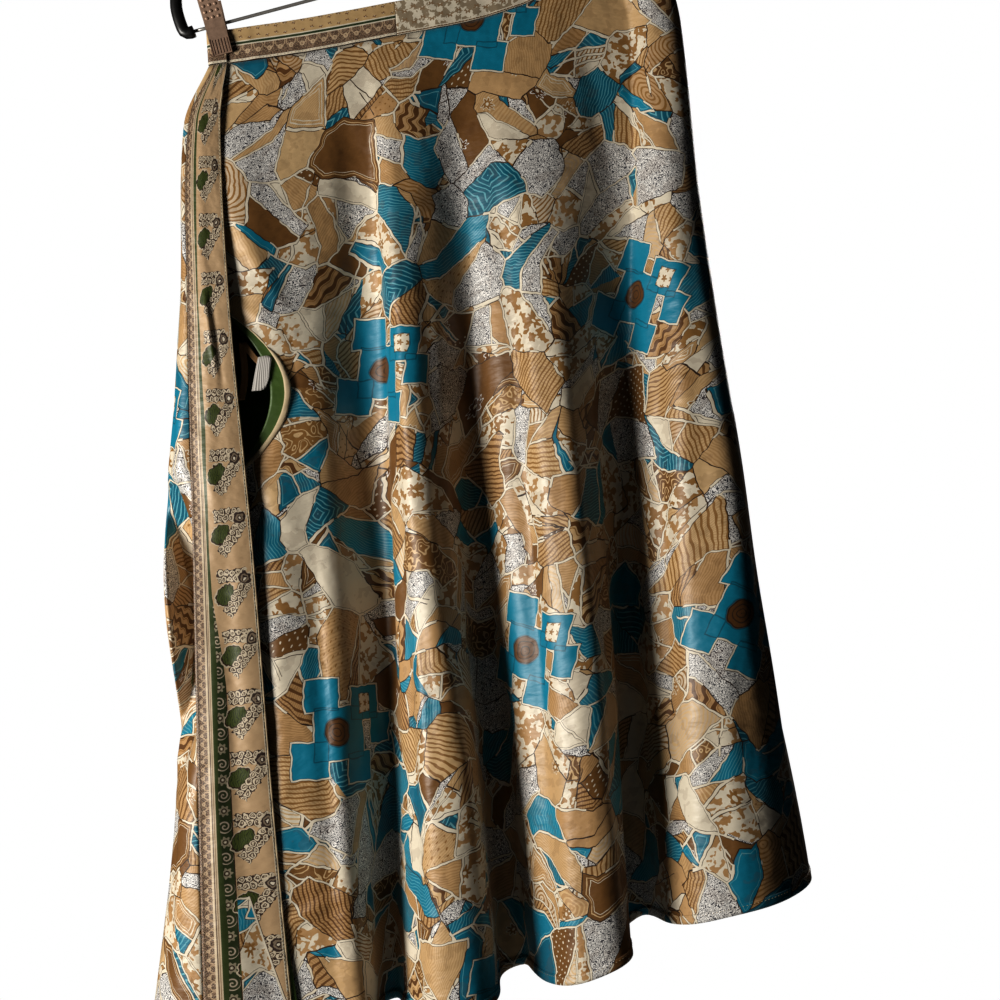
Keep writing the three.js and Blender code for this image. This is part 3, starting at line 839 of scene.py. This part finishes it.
def tape_material():
    """A woven tape with ribs along it, with painted shade in the grooves between the ribs and a painted
    highlight on their crests.
    """
    s = Shader("white_tape", 0.6, sheen=0.1)
    x, y = s.uv("Cloth", 1000.0)
    rib = s.waves(x, 1.7)
    # painted shade and highlight: the colour is darker in the grooves and lighter on the rib crests, in step
    # with the bump
    s.set("Base Color", s.mix(rib > 0.55, linear(216, 211, 204), linear(176, 171, 165)))
    s.set("Normal", s.bump(rib + s.waves(y, 0.7) * 0.4, 0.0002, 0.6))
    return s.material


def hard_material(name, light, dark, mottle, rough, grain, metallic=0.0, coat=0.0):
    """Mottled plastic or metal. Each of mottle, rough and grain starts with the scale of its noise."""
    s = Shader(name, 0.5, metallic=metallic, coat=coat)
    where = s.object_space()
    rough_scale, smoothest, spread = rough
    grain_scale, grain_height = grain
    s.set("Base Color", s.mix(s.noise(where, *mottle), light, dark))
    s.set("Roughness", smoothest + s.noise(where, rough_scale, 3.0) * spread)
    s.set("Normal", s.bump(s.noise(where, grain_scale), grain_height, 0.3))
    return s.material


def metal_material(name, light, dark, smoothest, metallic):
    return hard_material(
        name, light, dark, (220.0, 4.0, 0.6), (500.0, smoothest, 0.18), (1400.0, 0.0001), metallic)


PRINT = print_material()
BORDER_CLOTH = border_material()
LINING = plain_cloth("green_satin", GREEN, DARK_GREEN, 0.48)
BAND_PRINT = waistband_material(waistband_print)
BAND_MOTTLED = waistband_material(waistband_mottled)
TAPE = tape_material()
LOOP_CLOTH = plain_cloth("tan_tape", linear(190, 148, 100), linear(160, 118, 74), 0.55)
THREAD = plain_cloth("thread", linear(206, 188, 156), linear(186, 166, 132), 0.6)
PLASTIC = hard_material(
    "black_plastic", linear(20, 19, 19), linear(34, 33, 33), (60.0, 3.0), (140.0, 0.3, 0.16), (900.0, 0.0002),
    coat=0.1)
WIRE = metal_material("plated_wire", linear(214, 211, 206), linear(168, 164, 158), 0.3, 0.7)
CLIP_METAL = metal_material("worn_clip", linear(206, 174, 150), linear(142, 118, 102), 0.4, 0.45)

# ------------------------------------------------- the skirt
ROWS = np.concatenate([
    np.linspace(0, 0.08, 14, endpoint=False), np.linspace(0.08, 0.98, 170, endpoint=False),
    np.linspace(0.98, 1, 8)])


def tucked(grid, places):
    """The wrap side with its inner wall drawn in behind the border, so that the slot beside it is deep."""
    start, end, most = 0.42, 0.75, 19.0  # two levels, and millimetres to the right
    depth = np.sin(np.pi * np.clip((ROWS - start) / (end - start), 0, 1)) ** 0.7
    share = ramp(0.95, 1.3, places) * (1 - ramp(1.9, 2.0, places))
    moved = grid.copy()
    moved[..., 0] += most * depth[:, None] * share
    return moved


def panel(name, node, folds, counts, anchor_fold, creases, seed, origin, shaped=None):
    """A piece of printed cloth. Its flat cut starts at origin, at the fold that runs straight down."""
    grid, places = cloth_grid(folds, counts, ROWS)
    anchor = int(np.argmin(np.abs(places - anchor_fold)))
    flat = flat_cut(grid, ROWS, anchor)
    flat = flat - flat[0, anchor] + np.asarray(origin, float)
    grid = creased(grid, flat, ROWS, places, creases, seed)
    if shaped:
        grid = shaped(grid, places)
    return placed(grid_mesh(name, grid, {"Cloth": flat * MM}, [PRINT, LINING]), "print", node), grid, flat


# Creases: from (place among the folds, level), to, width and height in mm; a negative height is a trough.
FRONT_CREASES = [
    # the large ones, which give the folds their slopes
    ((0.36, 0.04), (0.34, 0.30), 26, 10.0), ((0.42, 0.74), (0.42, 0.99), 28, 11.0),
    ((0.48, 0.42), (0.46, 0.74), 32, 9.0), ((1.85, 0.12), (1.92, 0.66), 24, -13.0),
    ((1.0, 0.40), (1.0, 0.68), 26, -8.0), ((2.55, 0.3), (2.6, 0.98), 16, -9.0),
    ((4.62, 0.22), (4.62, 0.98), 20, -14.0), ((6.5, 0.3), (6.55, 0.98), 16, -8.0),
    ((7.22, 0.36), (7.22, 0.80), 18, 9.0), ((5.12, 0.3), (5.15, 0.9), 13, 6.0),
    # the small ones
    ((0.35, 0.16), (0.9, 0.27), 7, 2.2), ((0.3, 0.44), (0.95, 0.55), 9, -2.4),
    ((1.45, 0.66), (1.45, 0.95), 9, 1.6), ((1.05, 0.52), (0.85, 0.98), 10, -4.4),
    ((0.6, 0.60), (0.45, 0.92), 9, 2.6), ((0.5, 0.885), (0.95, 0.868), 4, 3.0),
    ((0.5, 0.872), (0.9, 0.858), 3.5, -2.2), ((1.6, 0.06), (1.75, 0.34), 11, 2.2),
    ((2.7, 0.10), (2.85, 0.52), 9, 2.4), ((3.3, 0.2), (3.2, 0.74), 12, -5.0),
    ((3.1, 0.62), (3.28, 0.97), 9, 3.0), ((2.85, 0.55), (2.95, 0.80), 7, -2.2),
    ((4.7, 0.12), (4.85, 0.5), 11, 2.4), ((5.45, 0.34), (5.5, 0.86), 10, 3.0),
    ((4.95, 0.6), (5.02, 0.96), 9, 2.6), ((5.15, 0.78), (5.3, 0.99), 8, -2.6),
    ((5.6, 0.04), (5.85, 0.24), 13, -2.6), ((6.75, 0.16), (6.85, 0.6), 9, 2.2),
    ((7.05, 0.68), (7.0, 0.98), 9, 2.8), ((7.5, 0.5), (7.55, 0.95), 10, 2.6),
]
BACK_CREASES = [
    ((0.6, 0.1), (0.7, 0.5), 9, 2.4), ((1.2, 0.25), (1.15, 0.8), 10, -3.2),
    ((0.85, 0.6), (0.9, 0.97), 9, 2.8), ((2.7, 0.12), (2.85, 0.5), 10, 2.4),
    ((3.2, 0.3), (3.15, 0.85), 11, -3.4), ((2.95, 0.66), (3.02, 0.98), 9, 2.8),
    ((4.75, 0.1), (4.8, 0.46), 10, 2.2), ((5.18, 0.24), (5.25, 0.8), 11, -3.2),
    ((5.0, 0.62), (4.92, 0.98), 9, 2.8), ((6.7, 0.14), (6.85, 0.55), 10, 2.4),
    ((7.25, 0.3), (7.2, 0.86), 11, -3.2), ((7.45, 0.55), (7.5, 0.97), 9, 2.6),
    ((6.9, 0.7), (6.98, 0.98), 8, 2.4),
]
SIDE_CREASES = [
    ((0.30, 0.47), (0.35, 0.70), 9, 7.0), ((0.6, 0.1), (1.3, 0.34), 8, 2.4),
    ((1.5, 0.3), (1.4, 0.5), 7, -2.2), ((1.3, 0.72), (1.5, 0.97), 9, -2.8),
]
BORDER_CREASES = [
    ((0.95, 0.245), (1.35, 0.33), 4, 4.6), ((1.1, 0.25), (1.5, 0.345), 3.5, -3.6),
    ((0.2, 0.38), (0.9, 0.46), 8, 1.6), ((1.0, 0.5), (1.1, 0.85), 9, -2.2),
    ((0.5, 0.62), (0.45, 0.98), 8, 2.2),
]
# How many steps the cloth has from each fold to the next.
FRONT_COUNTS = [20, 18, 24, 20, 26, 28, 24, 24]
BACK_COUNTS = [18, 16, 16, 16, 16, 16, 16, 16, 10]
SIDE_COUNTS = [14, 24]
BORDER_COUNTS = [16, 16]

front, front_grid, front_flat = panel(
    "front_cloth", "front_panel", FRONT, FRONT_COUNTS, 4.5, FRONT_CREASES, 3, (0, 0))
back, back_grid, back_flat = panel(
    "back_cloth", "back_panel", BACK, BACK_COUNTS, 4.5, BACK_CREASES, 5, (1360, 90))
side, side_grid, side_flat = panel(
    "wrap_side_cloth", "wrap_side", SIDE, SIDE_COUNTS, 1.6, SIDE_CREASES, 7, (2150, 30), tucked)


def border_piece():
    """The border, with coordinates of its own for its bands."""
    grid, places = cloth_grid(BORDER, BORDER_COUNTS, ROWS)
    flat = flat_cut(grid, ROWS, BORDER_COUNTS[0]) + np.array([2400.0, 0])
    grid = creased(grid, flat, ROWS, places, BORDER_CREASES, 9)
    run = run_along(grid)
    level = np.broadcast_to(ROWS[:, None], run.shape)
    uvs = {
        "Cloth": flat * MM,
        "Band": np.stack([run / run[:, [-1]], level * CLOTH_LENGTH * MM], 2),
        "BandSize": np.stack([np.broadcast_to(run[:, [-1]] * MM, run.shape), level], 2),
    }
    obj = placed(grid_mesh("border_cloth", grid, uvs, [BORDER_CLOTH, LINING]), "border", "border_band")
    return obj, grid, flat


border, border_grid, border_flat = border_piece()

# ------------------------------------------------- facings
FIRST_LINED = 6  # the row where the facings start
LINED = ROWS[FIRST_LINED:]
FACING_CLOTH = 0.9
FACING_DEPTH = 0.8 + SEAM + 0.6  # from the middle of the cloth to the middle of its facing


def facing(name, node, grid, flat, columns, free_end, reach):
    """A strip inside the cloth along its free edge, at its first or last column, which reaches past it."""
    turned = slice(None, None, -1) if free_end == "first" else slice(None)
    strip = (grid - outward(grid) * FACING_DEPTH)[FIRST_LINED:, turned][:, -columns:]
    cut = flat[FIRST_LINED:, turned][:, -columns:]
    heading = strip[:, -1] - strip[:, -2]
    heading[:, 2] = 0
    steps = np.linspace(0, 1, 7)[1:, None]
    past = np.array([reach(level) for level in LINED])[:, None, None] * steps
    cut_heading = np.array([-1.0 if free_end == "first" else 1.0, 0.0])
    strip = np.concatenate([strip, strip[:, [-1]] + unit(heading)[:, None] * past], 1)[:, turned]
    cut = np.concatenate([cut, cut[:, [-1]] + cut_heading * past], 1)[:, turned]
    obj = grid_mesh(name, strip, {"Cloth": cut * MM}, [LINING], FACING_CLOTH)
    return placed(obj, "green_lining", node), strip


under_facing, under_strip = facing(
    "under_facing_cloth", "under_facing", front_grid, front_flat, 30, "first",
    lambda level: 0.8 + 14 * straying("under_edge", level))
border_facing, _ = facing(
    "border_facing_cloth", "border_facing", border_grid, border_flat, 16, "last",
    lambda level: 0.6 + 7 * float(ramp(0.86, 1, level)))

# ------------------------------------------------- waistband
BAND_CLOTH = 1.7
BAND_HEIGHTS = np.array([1, 0.97, 0.9, 0.75, 0.6, 0.45, 0.3, 0.15, 0.06, 0.02])


def band(name, node, folds, counts, material, start):
    """A length of the waistband over the seam, slightly puckered low down. Its print starts at start."""
    waist, _ = course(folds, counts, 0)
    seam = smooth(*SEAM_HEIGHT, waist[:, 0])
    heights = BAND_HEIGHTS[:, None]
    grid = np.zeros((len(heights), len(waist), 3))
    grid[:, :, :2] = waist
    grid[:, :, 2] = seam + heights * WAISTBAND_HEIGHT
    run = run_along(waist)
    shape = grid.shape[:2]
    uv = np.stack([np.broadcast_to((run + start) * MM, shape), np.broadcast_to(heights, shape)], 2)
    pucker = 0.28 * np.sin(run / 5.3) + 0.22 * np.sin(run / 3.1 + 1)
    pucker = pucker * ramp(0, 12, np.minimum(run, run[-1] - run)) * (1 - heights) ** 2
    grid += outward(grid) * pucker[..., None]
    obj = grid_mesh(name, grid, {"Cloth": uv, "Band": uv}, [material], BAND_CLOTH)
    bevel = obj.modifiers.new("soft edge", "BEVEL")
    bevel.width = 0.5 * MM
    bevel.segments = 2
    bevel.limit_method = "ANGLE"
    return placed(obj, "border", node), grid


JOIN = 3  # the fold where the printed length ends
waist_front, waist_front_grid = band(
    "waistband_front_cloth", "waistband_front", FRONT[:JOIN + 1], [24, 30, 16], BAND_PRINT, 0)
waist_back, waist_back_grid = band(
    "waistband_back_cloth", "waistband_back", [*FRONT[JOIN:], *BACK[1:]],
    [20, 24, 40, 14, 20, 20, 14, 16, 16, 16, 16, 16, 16, 8], BAND_MOTTLED, 0)
waist_wrap, waist_wrap_grid = band(
    "waistband_wrap_cloth", "waistband_wrap", [*SIDE, *BORDER[1:]], [10, 10, 8, 8], BAND_PRINT, 40)

# ------------------------------------------------- label and loop
LABEL_LEVEL = 0.335
LABEL_EDGE = under_strip[int(np.argmin(np.abs(LINED - LABEL_LEVEL))), 0]  # where the label is sewn on
LABEL_THICKNESS = 0.7
LOOP_THICKNESS = 0.9
LOOP_HALF = 3.5
STRIP_CUT = (0.014, 0.04)  # width and length in metres of the weave on a strip


def strip_piece(name, node, rows, material, slot, thickness, fine, wide=8):
    """A narrow strip through rows of (x, y) from the label's edge and z, made finer and rounded."""
    points = np.array([[(LABEL_EDGE[0] + x, LABEL_EDGE[1] + y, z) for x, y, z in row] for row in rows])
    down = catmull(points.reshape(len(rows), -1), fine).reshape(fine + 1, -1, 3)
    grid = np.stack([catmull(row, wide) for row in down])
    u, v = np.meshgrid(*(np.linspace(0, size, steps + 1) for size, steps in zip(STRIP_CUT, (wide, fine))))
    return placed(grid_mesh(name, grid, {"Cloth": np.stack([u, v], 2)}, [material], thickness), slot, node)


label = strip_piece("label_tape", "label", [
    [(-9, -0.9, -558), (-1, -0.6, -557), (4.5, -0.4, -559)],
    [(-13, -2.1, -574), (-3, -1.8, -573), (2.5, -1.6, -570)],
    [(-17, -3.7, -591), (-5, -3.1, -590), (0.5, -2.4, -580)],
], TAPE, "white_tape", LABEL_THICKNESS, 12)

LOOP_LINE = [
    (-2.5, 2.5, -570), (-14, 4.4, -557), (-22, 6.2, -545), (-24.5, 7.8, -542), (-25.5, 9.6, -545),
    (-25, 9, -574), (-30, 8, -598)]
loop = strip_piece(
    "loop_tape", "loop", [[(x - LOOP_HALF, y, z), (x + LOOP_HALF, y, z)] for x, y, z in LOOP_LINE],
    LOOP_CLOTH, "border", LOOP_THICKNESS, 40)

# ------------------------------------------------- hems, rolled edges and stitches
HEM = 9.0  # height of the turned-up hem
HEM_CLOTH = 0.8
HEM_STITCHES = 0.7  # how far down the hem's first step they run
STITCH_PITCH, STITCH_LENGTH = 3.6, 2.5
ON_TOP = 0.1  # the gap between a surface and what lies on it
ROLLED, BORDER_STITCHED = 5, 8  # the rows where the rolled edges and the border's stitches start


def turned_hem(name, grid, flat):
    """The hem's second layer of cloth, on the outside of the lowest rows, and the line of its stitches."""
    at = np.interp(np.linspace(1 - HEM / CLOTH_LENGTH, 1, 4), ROWS, np.arange(len(ROWS)))
    low = np.floor(at).astype(int).clip(0, len(ROWS) - 2)
    part = (at - low)[:, None, None]

    def row_of(values):
        return values[low] * (1 - part) + values[low + 1] * part

    out = row_of(outward(grid))
    strip = row_of(grid) + out * (CLOTH / 2 + HEM_CLOTH / 2 + ON_TOP)
    obj = placed(grid_mesh(name, strip, {"Cloth": row_of(flat) * MM}, [PRINT], HEM_CLOTH), "print")
    line = strip[1] * HEM_STITCHES + strip[0] * (1 - HEM_STITCHES) + out[1] * (HEM_CLOTH / 2 + ON_TOP)
    return obj, (line, out[1])


def rolled_edge(name, line, radius, slot, sides=8):
    """A narrow rolled edge: a thin, slightly uneven tube along a line of points."""
    tangent = unit(np.gradient(line, axis=0))
    side_way = unit(np.cross(tangent, [0.0, 1.0, 0.0]))
    front_way = np.cross(side_way, tangent)
    run = run_along(line)
    size = (radius * (1 + 0.12 * np.sin(run / 4.7) + 0.1 * np.sin(run / 2.9 + 1)))[:, None]
    rings = zip(line * MM, side_way * size * MM, front_way * size * MM)
    verts, faces = tube([ring(*centre_and_axes, sides) for centre_and_axes in rings])
    return placed(plain_mesh(name, verts, faces, THREAD), slot)


def under_edge_hem():
    """The hem that is turned to the outside along the gap's edge."""
    top, bottom = 0.3, 0.475  # the levels between which it shows
    width, cut_width, past_edge, thickness = 7.0, 6.5, 0.8, 0.6
    rows = np.nonzero((ROWS > top) & (ROWS < bottom))[0]
    share = (ROWS[rows] - ROWS[rows[0]]) / (ROWS[rows[-1]] - ROWS[rows[0]])
    wide = width * np.sin(np.pi * share) ** 0.4 + 0.4 * np.sin(share * 31)
    edge = front_grid[rows, 0]
    way = unit(front_grid[rows, 2] - edge)
    steps = np.linspace(0, 1, 5)
    lift = 1.0 + 0.7 * np.sin(np.pi * steps)
    grid = (
        (edge - way * past_edge)[:, None] + way[:, None] * (wide[:, None] * steps)[..., None]
        + outward(front_grid)[rows, 1][:, None] * lift[:, None])
    uv = np.stack(np.meshgrid(steps * cut_width * MM, ROWS[rows]), 2)
    return placed(grid_mesh("under_edge_hem", grid, {"Cloth": uv}, [THREAD], thickness), "print")


SPINDLE = [(0, 1 + j, 1 + (j + 1) % 4) for j in range(4)] + [(5, 1 + (j + 1) % 4, 1 + j) for j in range(4)]


def stitch_line(line, out):
    """Stitches along a line on the cloth: for each one a small spindle of thread."""
    half_wide, high, low = 0.3, 0.38, 0.2
    run = run_along(line)

    def at(values, where):
        return np.array([np.interp(where, run, values[:, k]) for k in range(3)])

    pieces = []
    for start in np.arange(STITCH_PITCH, run[-1] - STITCH_PITCH, STITCH_PITCH):
        first, last = at(line, start), at(line, start + STITCH_LENGTH)
        up = unit(at(out, start))
        side_way = np.cross(unit(last - first), up) * half_wide
        middle = (first + last) / 2
        verts = [first, middle + side_way, middle + high * up, middle - side_way, middle - low * up, last]
        pieces.append((verts, SPINDLE))
    return pieces


def stitched(name, lines, slot):
    verts, faces = joined([piece for line in lines for piece in stitch_line(*line)])
    return placed(plain_mesh(name, [v * MM for v in verts], faces, THREAD), slot)


def band_stitches(name, grid):
    out = outward(grid)
    return stitched(name, [(grid[r] + out[r] * (BAND_CLOTH / 2 + ON_TOP), out[r]) for r in (1, -2)], "border")


front_hem, front_line = turned_hem("front_hem", front_grid, front_flat)
back_hem, back_line = turned_hem("back_hem", back_grid, back_flat)
side_hem, side_line = turned_hem("wrap_side_hem", side_grid, side_flat)
under_roll = rolled_edge("under_edge_roll", front_grid[ROLLED:, 0], 1.0, "print")
border_roll = rolled_edge("free_edge_roll", border_grid[ROLLED:, -1], 0.9, "border")
edge_hem = under_edge_hem()
front_stitches = stitched("front_stitches", [front_line], "print")
back_stitches = stitched("back_stitches", [back_line], "print")
side_stitches = stitched("wrap_side_stitches", [side_line], "print")
border_out = outward(border_grid)[BORDER_STITCHED:]
border_top = border_grid[BORDER_STITCHED:] + border_out * (CLOTH / 2 + ON_TOP)
border_seams = [(border_top[:, c], border_out[:, c]) for c in (1, -2)]
border_stitches = stitched("border_stitches", border_seams, "border")
waist_front_stitches = band_stitches("waistband_front_stitches", waist_front_grid)
waist_back_stitches = band_stitches("waistband_back_stitches", waist_back_grid)
waist_wrap_stitches = band_stitches("waistband_wrap_stitches", waist_wrap_grid)

# ------------------------------------------------- the hanger, in its own tilted frame
# u runs along the bar and w away from it, towards the hook. y is the row's own.
TILT = math.radians(11)
HOOK_TO_BAR = 190
BAR_RADIUS = 1.6
BAR_HALF = 202
ARM_HALVES = (6, 5)
HOOK_RADIUS = 2.2
BOW, BOW_MIDDLE = 23.2, -21


def hung(verts):
    """From the hanger's own frame, in millimetres, to the row's frame, in metres."""
    c, s = math.cos(TILT), math.sin(TILT)
    return [((u * c - w * s) * MM, y * MM, (u * s + w * c) * MM) for u, y, w in verts]


def hard_piece(name, node, data, material, slot, smooth_faces=True):
    verts, faces = data
    obj = plain_mesh(name, hung(verts), faces, material, smooth_faces)
    work = bmesh.new()
    work.from_mesh(obj.data)
    bmesh.ops.recalc_face_normals(work, faces=work.faces)
    work.to_mesh(obj.data)
    work.free()
    return placed(obj, slot, node)


def bow(degrees):
    a = math.radians(degrees)
    return (BOW * math.cos(a), 0, BOW_MIDDLE + BOW * math.sin(a))


ARM = [(BAR_HALF + SEAM, -HOOK_TO_BAR), (BAR_HALF + 7, -HOOK_TO_BAR), (BAR_HALF + 11, -HOOK_TO_BAR + 6),
       (BAR_HALF + 11, -160), (BAR_HALF + 1, -143), (170, -130), (90, -99), (24, -79)]
arms_line = catmull([(-u, 0, w) for u, w in ARM] + [(0, 0, -76)] + [(u, 0, w) for u, w in reversed(ARM)], 150)
bar_line = [(u, 0, -HOOK_TO_BAR) for u in np.linspace(-BAR_HALF, BAR_HALF, 40)]
hook_line = catmull(
    [(0, 0, -69.6), (0, 0, -62), (3, 0, -54), (14, 0, -43),
     *[bow(degrees) for degrees in (-20, 10, 40, 65, 90, 115, 140, 170, 190)]], 90)
hard_piece("hanger_arms", "hanger_frame", rod_data(arms_line, *ARM_HALVES, 20), PLASTIC, "black_plastic")
hard_piece("trouser_bar", "hanger_bar", rod_data(bar_line, BAR_RADIUS, BAR_RADIUS, 14), WIRE, "wire")
hard_piece("hook_wire", "hanger_hook", rod_data(hook_line, HOOK_RADIUS, HOOK_RADIUS, 14), WIRE, "wire")


def box_data(u0, u1, y0, y1, w0, w1):
    verts = [(u, y, w) for w in (w0, w1) for y in sorted((y0, y1)) for u in (u0, u1)]
    faces = [(0, 2, 3, 1), (4, 5, 7, 6), (0, 1, 5, 4), (2, 6, 7, 3), (0, 4, 6, 2), (1, 3, 7, 5)]
    return verts, faces


def plate_data(profile, sheet, u0, u1):
    """A bent sheet of metal: its outer line in (y, w), extruded from u0 to u1."""
    line = np.asarray(profile, float)
    tangent = unit(np.gradient(line, axis=0))
    normal = np.stack([-tangent[:, 1], tangent[:, 0]], 1) * sheet
    outline = [*line, *(line + normal)[::-1]]
    count = len(outline)
    verts = [(u, y, w) for u in (u0, u1) for y, w in outline]
    faces = [tuple(range(count)), tuple(count + i for i in reversed(range(count)))]
    faces += [(i, count + i, count + (i + 1) % count, (i + 1) % count) for i in range(count)]
    return verts, faces


def bead_data(centre, radius, high, way, sides=12, rings=4):
    """A low round bead on a clip's lever, towards way along y."""
    centre = np.asarray(centre, float)
    points = []
    for i in range(rings):
        lift = i / rings * math.pi / 2
        size = radius * math.cos(lift)
        level = centre + np.array([0, way * high * math.sin(lift), 0])
        points += ring(level, np.array([size, 0, 0]), np.array([0, 0, size]), sides)
    faces = []
    for j in range(sides):
        k = (j + 1) % sides
        faces += [(r + j, r + k, r + sides + k, r + sides + j) for r in range(0, (rings - 1) * sides, sides)]
        faces.append(((rings - 1) * sides + j, (rings - 1) * sides + k, rings * sides))
    return points + [centre + np.array([0, way * high, 0])], faces


CLIP_HALF = 10
LEVER = [(12.6, 27.8), (11.0, 21), (8.6, 12), (6.2, 4)]  # a lever's half spread and its height over the bar
CLIP_SHEET = 1.15


def clip_side(u, way, jaw):
    """One lever and jaw of a clip, with its beads, ribs and turned edges. The jaw grips at y = jaw."""
    line = [*LEVER, (5.8, -3), (5.9, -7), (jaw + 1.2, -14), (jaw + 1.25, -22), (jaw + 1.25, -31.8)]
    line = [(way * y, w - HOOK_TO_BAR) for y, w in line]
    parts = [plate_data(line, -CLIP_SHEET * way, u - CLIP_HALF, u + CLIP_HALF)]
    spread, heights = zip(*reversed(LEVER))
    for column in (-6.0, 0.0, 6.0):
        for row in range(4):
            w = 6.5 + row * 5.6
            y = np.interp(w, heights, spread) - 0.1
            parts.append(bead_data((u + column, way * y, w - HOOK_TO_BAR), 1.9, 1.0, way))
    # on the jaw, ribs and turned edges: start and width along u, height from the cloth, lower and upper end
    ribs = [(-8.1 + 3.0 * i, 1.2, 1.85, -30.5, -16) for i in range(6)]
    edges = [(start, 0.9, 2.0, -31.6, -14.5) for start in (-CLIP_HALF, CLIP_HALF - 0.9)]
    for start, wide, high, low, top in ribs + edges:
        parts.append(box_data(
            u + start, u + start + wide, way * (jaw + 1.0), way * (jaw + high),
            low - HOOK_TO_BAR, top - HOOK_TO_BAR))
    return parts


def spring_data(u, turns=7, steps=16):
    """The spring round the bar."""
    coil, wire, half_long = 3.6, 0.75, 7.0
    angles = 2 * math.pi * np.arange(turns * steps + 1) / steps
    radial = np.stack([np.zeros(len(angles)), np.cos(angles), np.sin(angles)], 1)
    line = radial * coil + np.array([0, 0, -HOOK_TO_BAR])
    line[:, 0] = u + np.linspace(-half_long, half_long, len(angles))
    binormal = np.cross(unit(np.gradient(line, axis=0)), radial)
    return tube([ring(p, r * wire, b * wire, 6) for p, r, b in zip(line, radial, binormal)])


def clip(name, node, u, front_jaw, back_jaw):
    parts = [*clip_side(u, -1, front_jaw), *clip_side(u, 1, back_jaw), spring_data(u)]
    return hard_piece(name, node, joined(parts), CLIP_METAL, "clip_metal", False)


left_clip = clip("clip_left_metal", "clip_left", -180, 4.8, 3.9)
right_clip = clip("clip_right_metal", "clip_right", 178, 5.2, 5.2)

# ------------------------------------------------- camera, light and floor, in metres
CAMERA_AT = (0.110, -1.3, -0.714)
CAMERA_ROLL = math.radians(4)
SENSOR = 36
FOCUS = 1.3  # the lens's length over its sensor's width
FLOOR_LEVEL = -2.4
FLOOR_RADIUS = 1.1


def add_camera():
    data = bpy.data.cameras.new("camera")
    data.sensor_width = SENSOR
    data.lens = FOCUS * SENSOR
    camera = bpy.data.objects.new("camera", data)
    c, s = math.cos(CAMERA_ROLL), math.sin(CAMERA_ROLL)
    x, y, z = CAMERA_AT
    camera.matrix_world = Matrix(((c, s, 0, x), (0, 0, -1, y), (-s, c, 0, z), (0, 0, 0, 1)))
    bpy.context.scene.collection.objects.link(camera)
    bpy.context.scene.camera = camera


def area_light(name, at, aim, size, power, colour):
    data = bpy.data.lights.new(name, "AREA")
    data.shape = "DISK"
    data.size = size
    data.energy = power
    data.color = colour
    lamp = bpy.data.objects.new(name, data)
    lamp.location = at
    lamp.rotation_euler = (Vector(aim) - Vector(at)).to_track_quat("-Z", "Y").to_euler()
    bpy.context.scene.collection.objects.link(lamp)


def add_world(light):
    """A white world to the camera, which lights the scene only a little."""
    world = bpy.data.worlds.new("world")
    bpy.context.scene.world = world
    world.use_nodes = True
    tree = world.node_tree
    dim = tree.nodes["Background"]
    seen = tree.nodes.new("ShaderNodeBackground")
    for node, strength in ((dim, light), (seen, 1.0)):
        node.inputs[0].default_value = (1, 1, 1, 1)
        node.inputs[1].default_value = strength
    rays = tree.nodes.new("ShaderNodeLightPath")
    choose = tree.nodes.new("ShaderNodeMixShader")
    tree.links.new(rays.outputs["Is Camera Ray"], choose.inputs[0])
    tree.links.new(dim.outputs[0], choose.inputs[1])
    tree.links.new(seen.outputs[0], choose.inputs[2])
    tree.links.new(choose.outputs[0], tree.nodes["World Output"].inputs[0])


def floor_paint():
    s = Shader("floor_paint", 0.8)
    where = s.object_space()
    s.set("Base Color", s.mix(s.noise(where, 3.0), (0.82, 0.82, 0.81, 1), (0.86, 0.86, 0.85, 1)))
    return s.material


add_camera()
area_light("window", (-1.8, -1.15, -0.7), (0.12, 0, -0.85), 0.95, 62, (1.0, 0.97, 0.92))
area_light("low_fill", (0.3, -2.4, -0.6), (0.1, 0, -0.7), 1.5, 0.4, (0.95, 0.97, 1.0))
area_light("behind", (0.9, 2.2, 0.1), (0.05, 0, -0.75), 1.2, 29, (1.0, 0.98, 0.95))
add_world(0.006)
bpy.context.scene.view_settings.view_transform = "Standard"
bpy.context.scene.view_settings.gamma = 0.78

floor_ring = ring(
    np.array([0.1, 0, FLOOR_LEVEL]), np.array([FLOOR_RADIUS, 0, 0]), np.array([0, FLOOR_RADIUS, 0]), 96)
floor = plain_mesh("floor", floor_ring, [tuple(range(96))], floor_paint(), False)
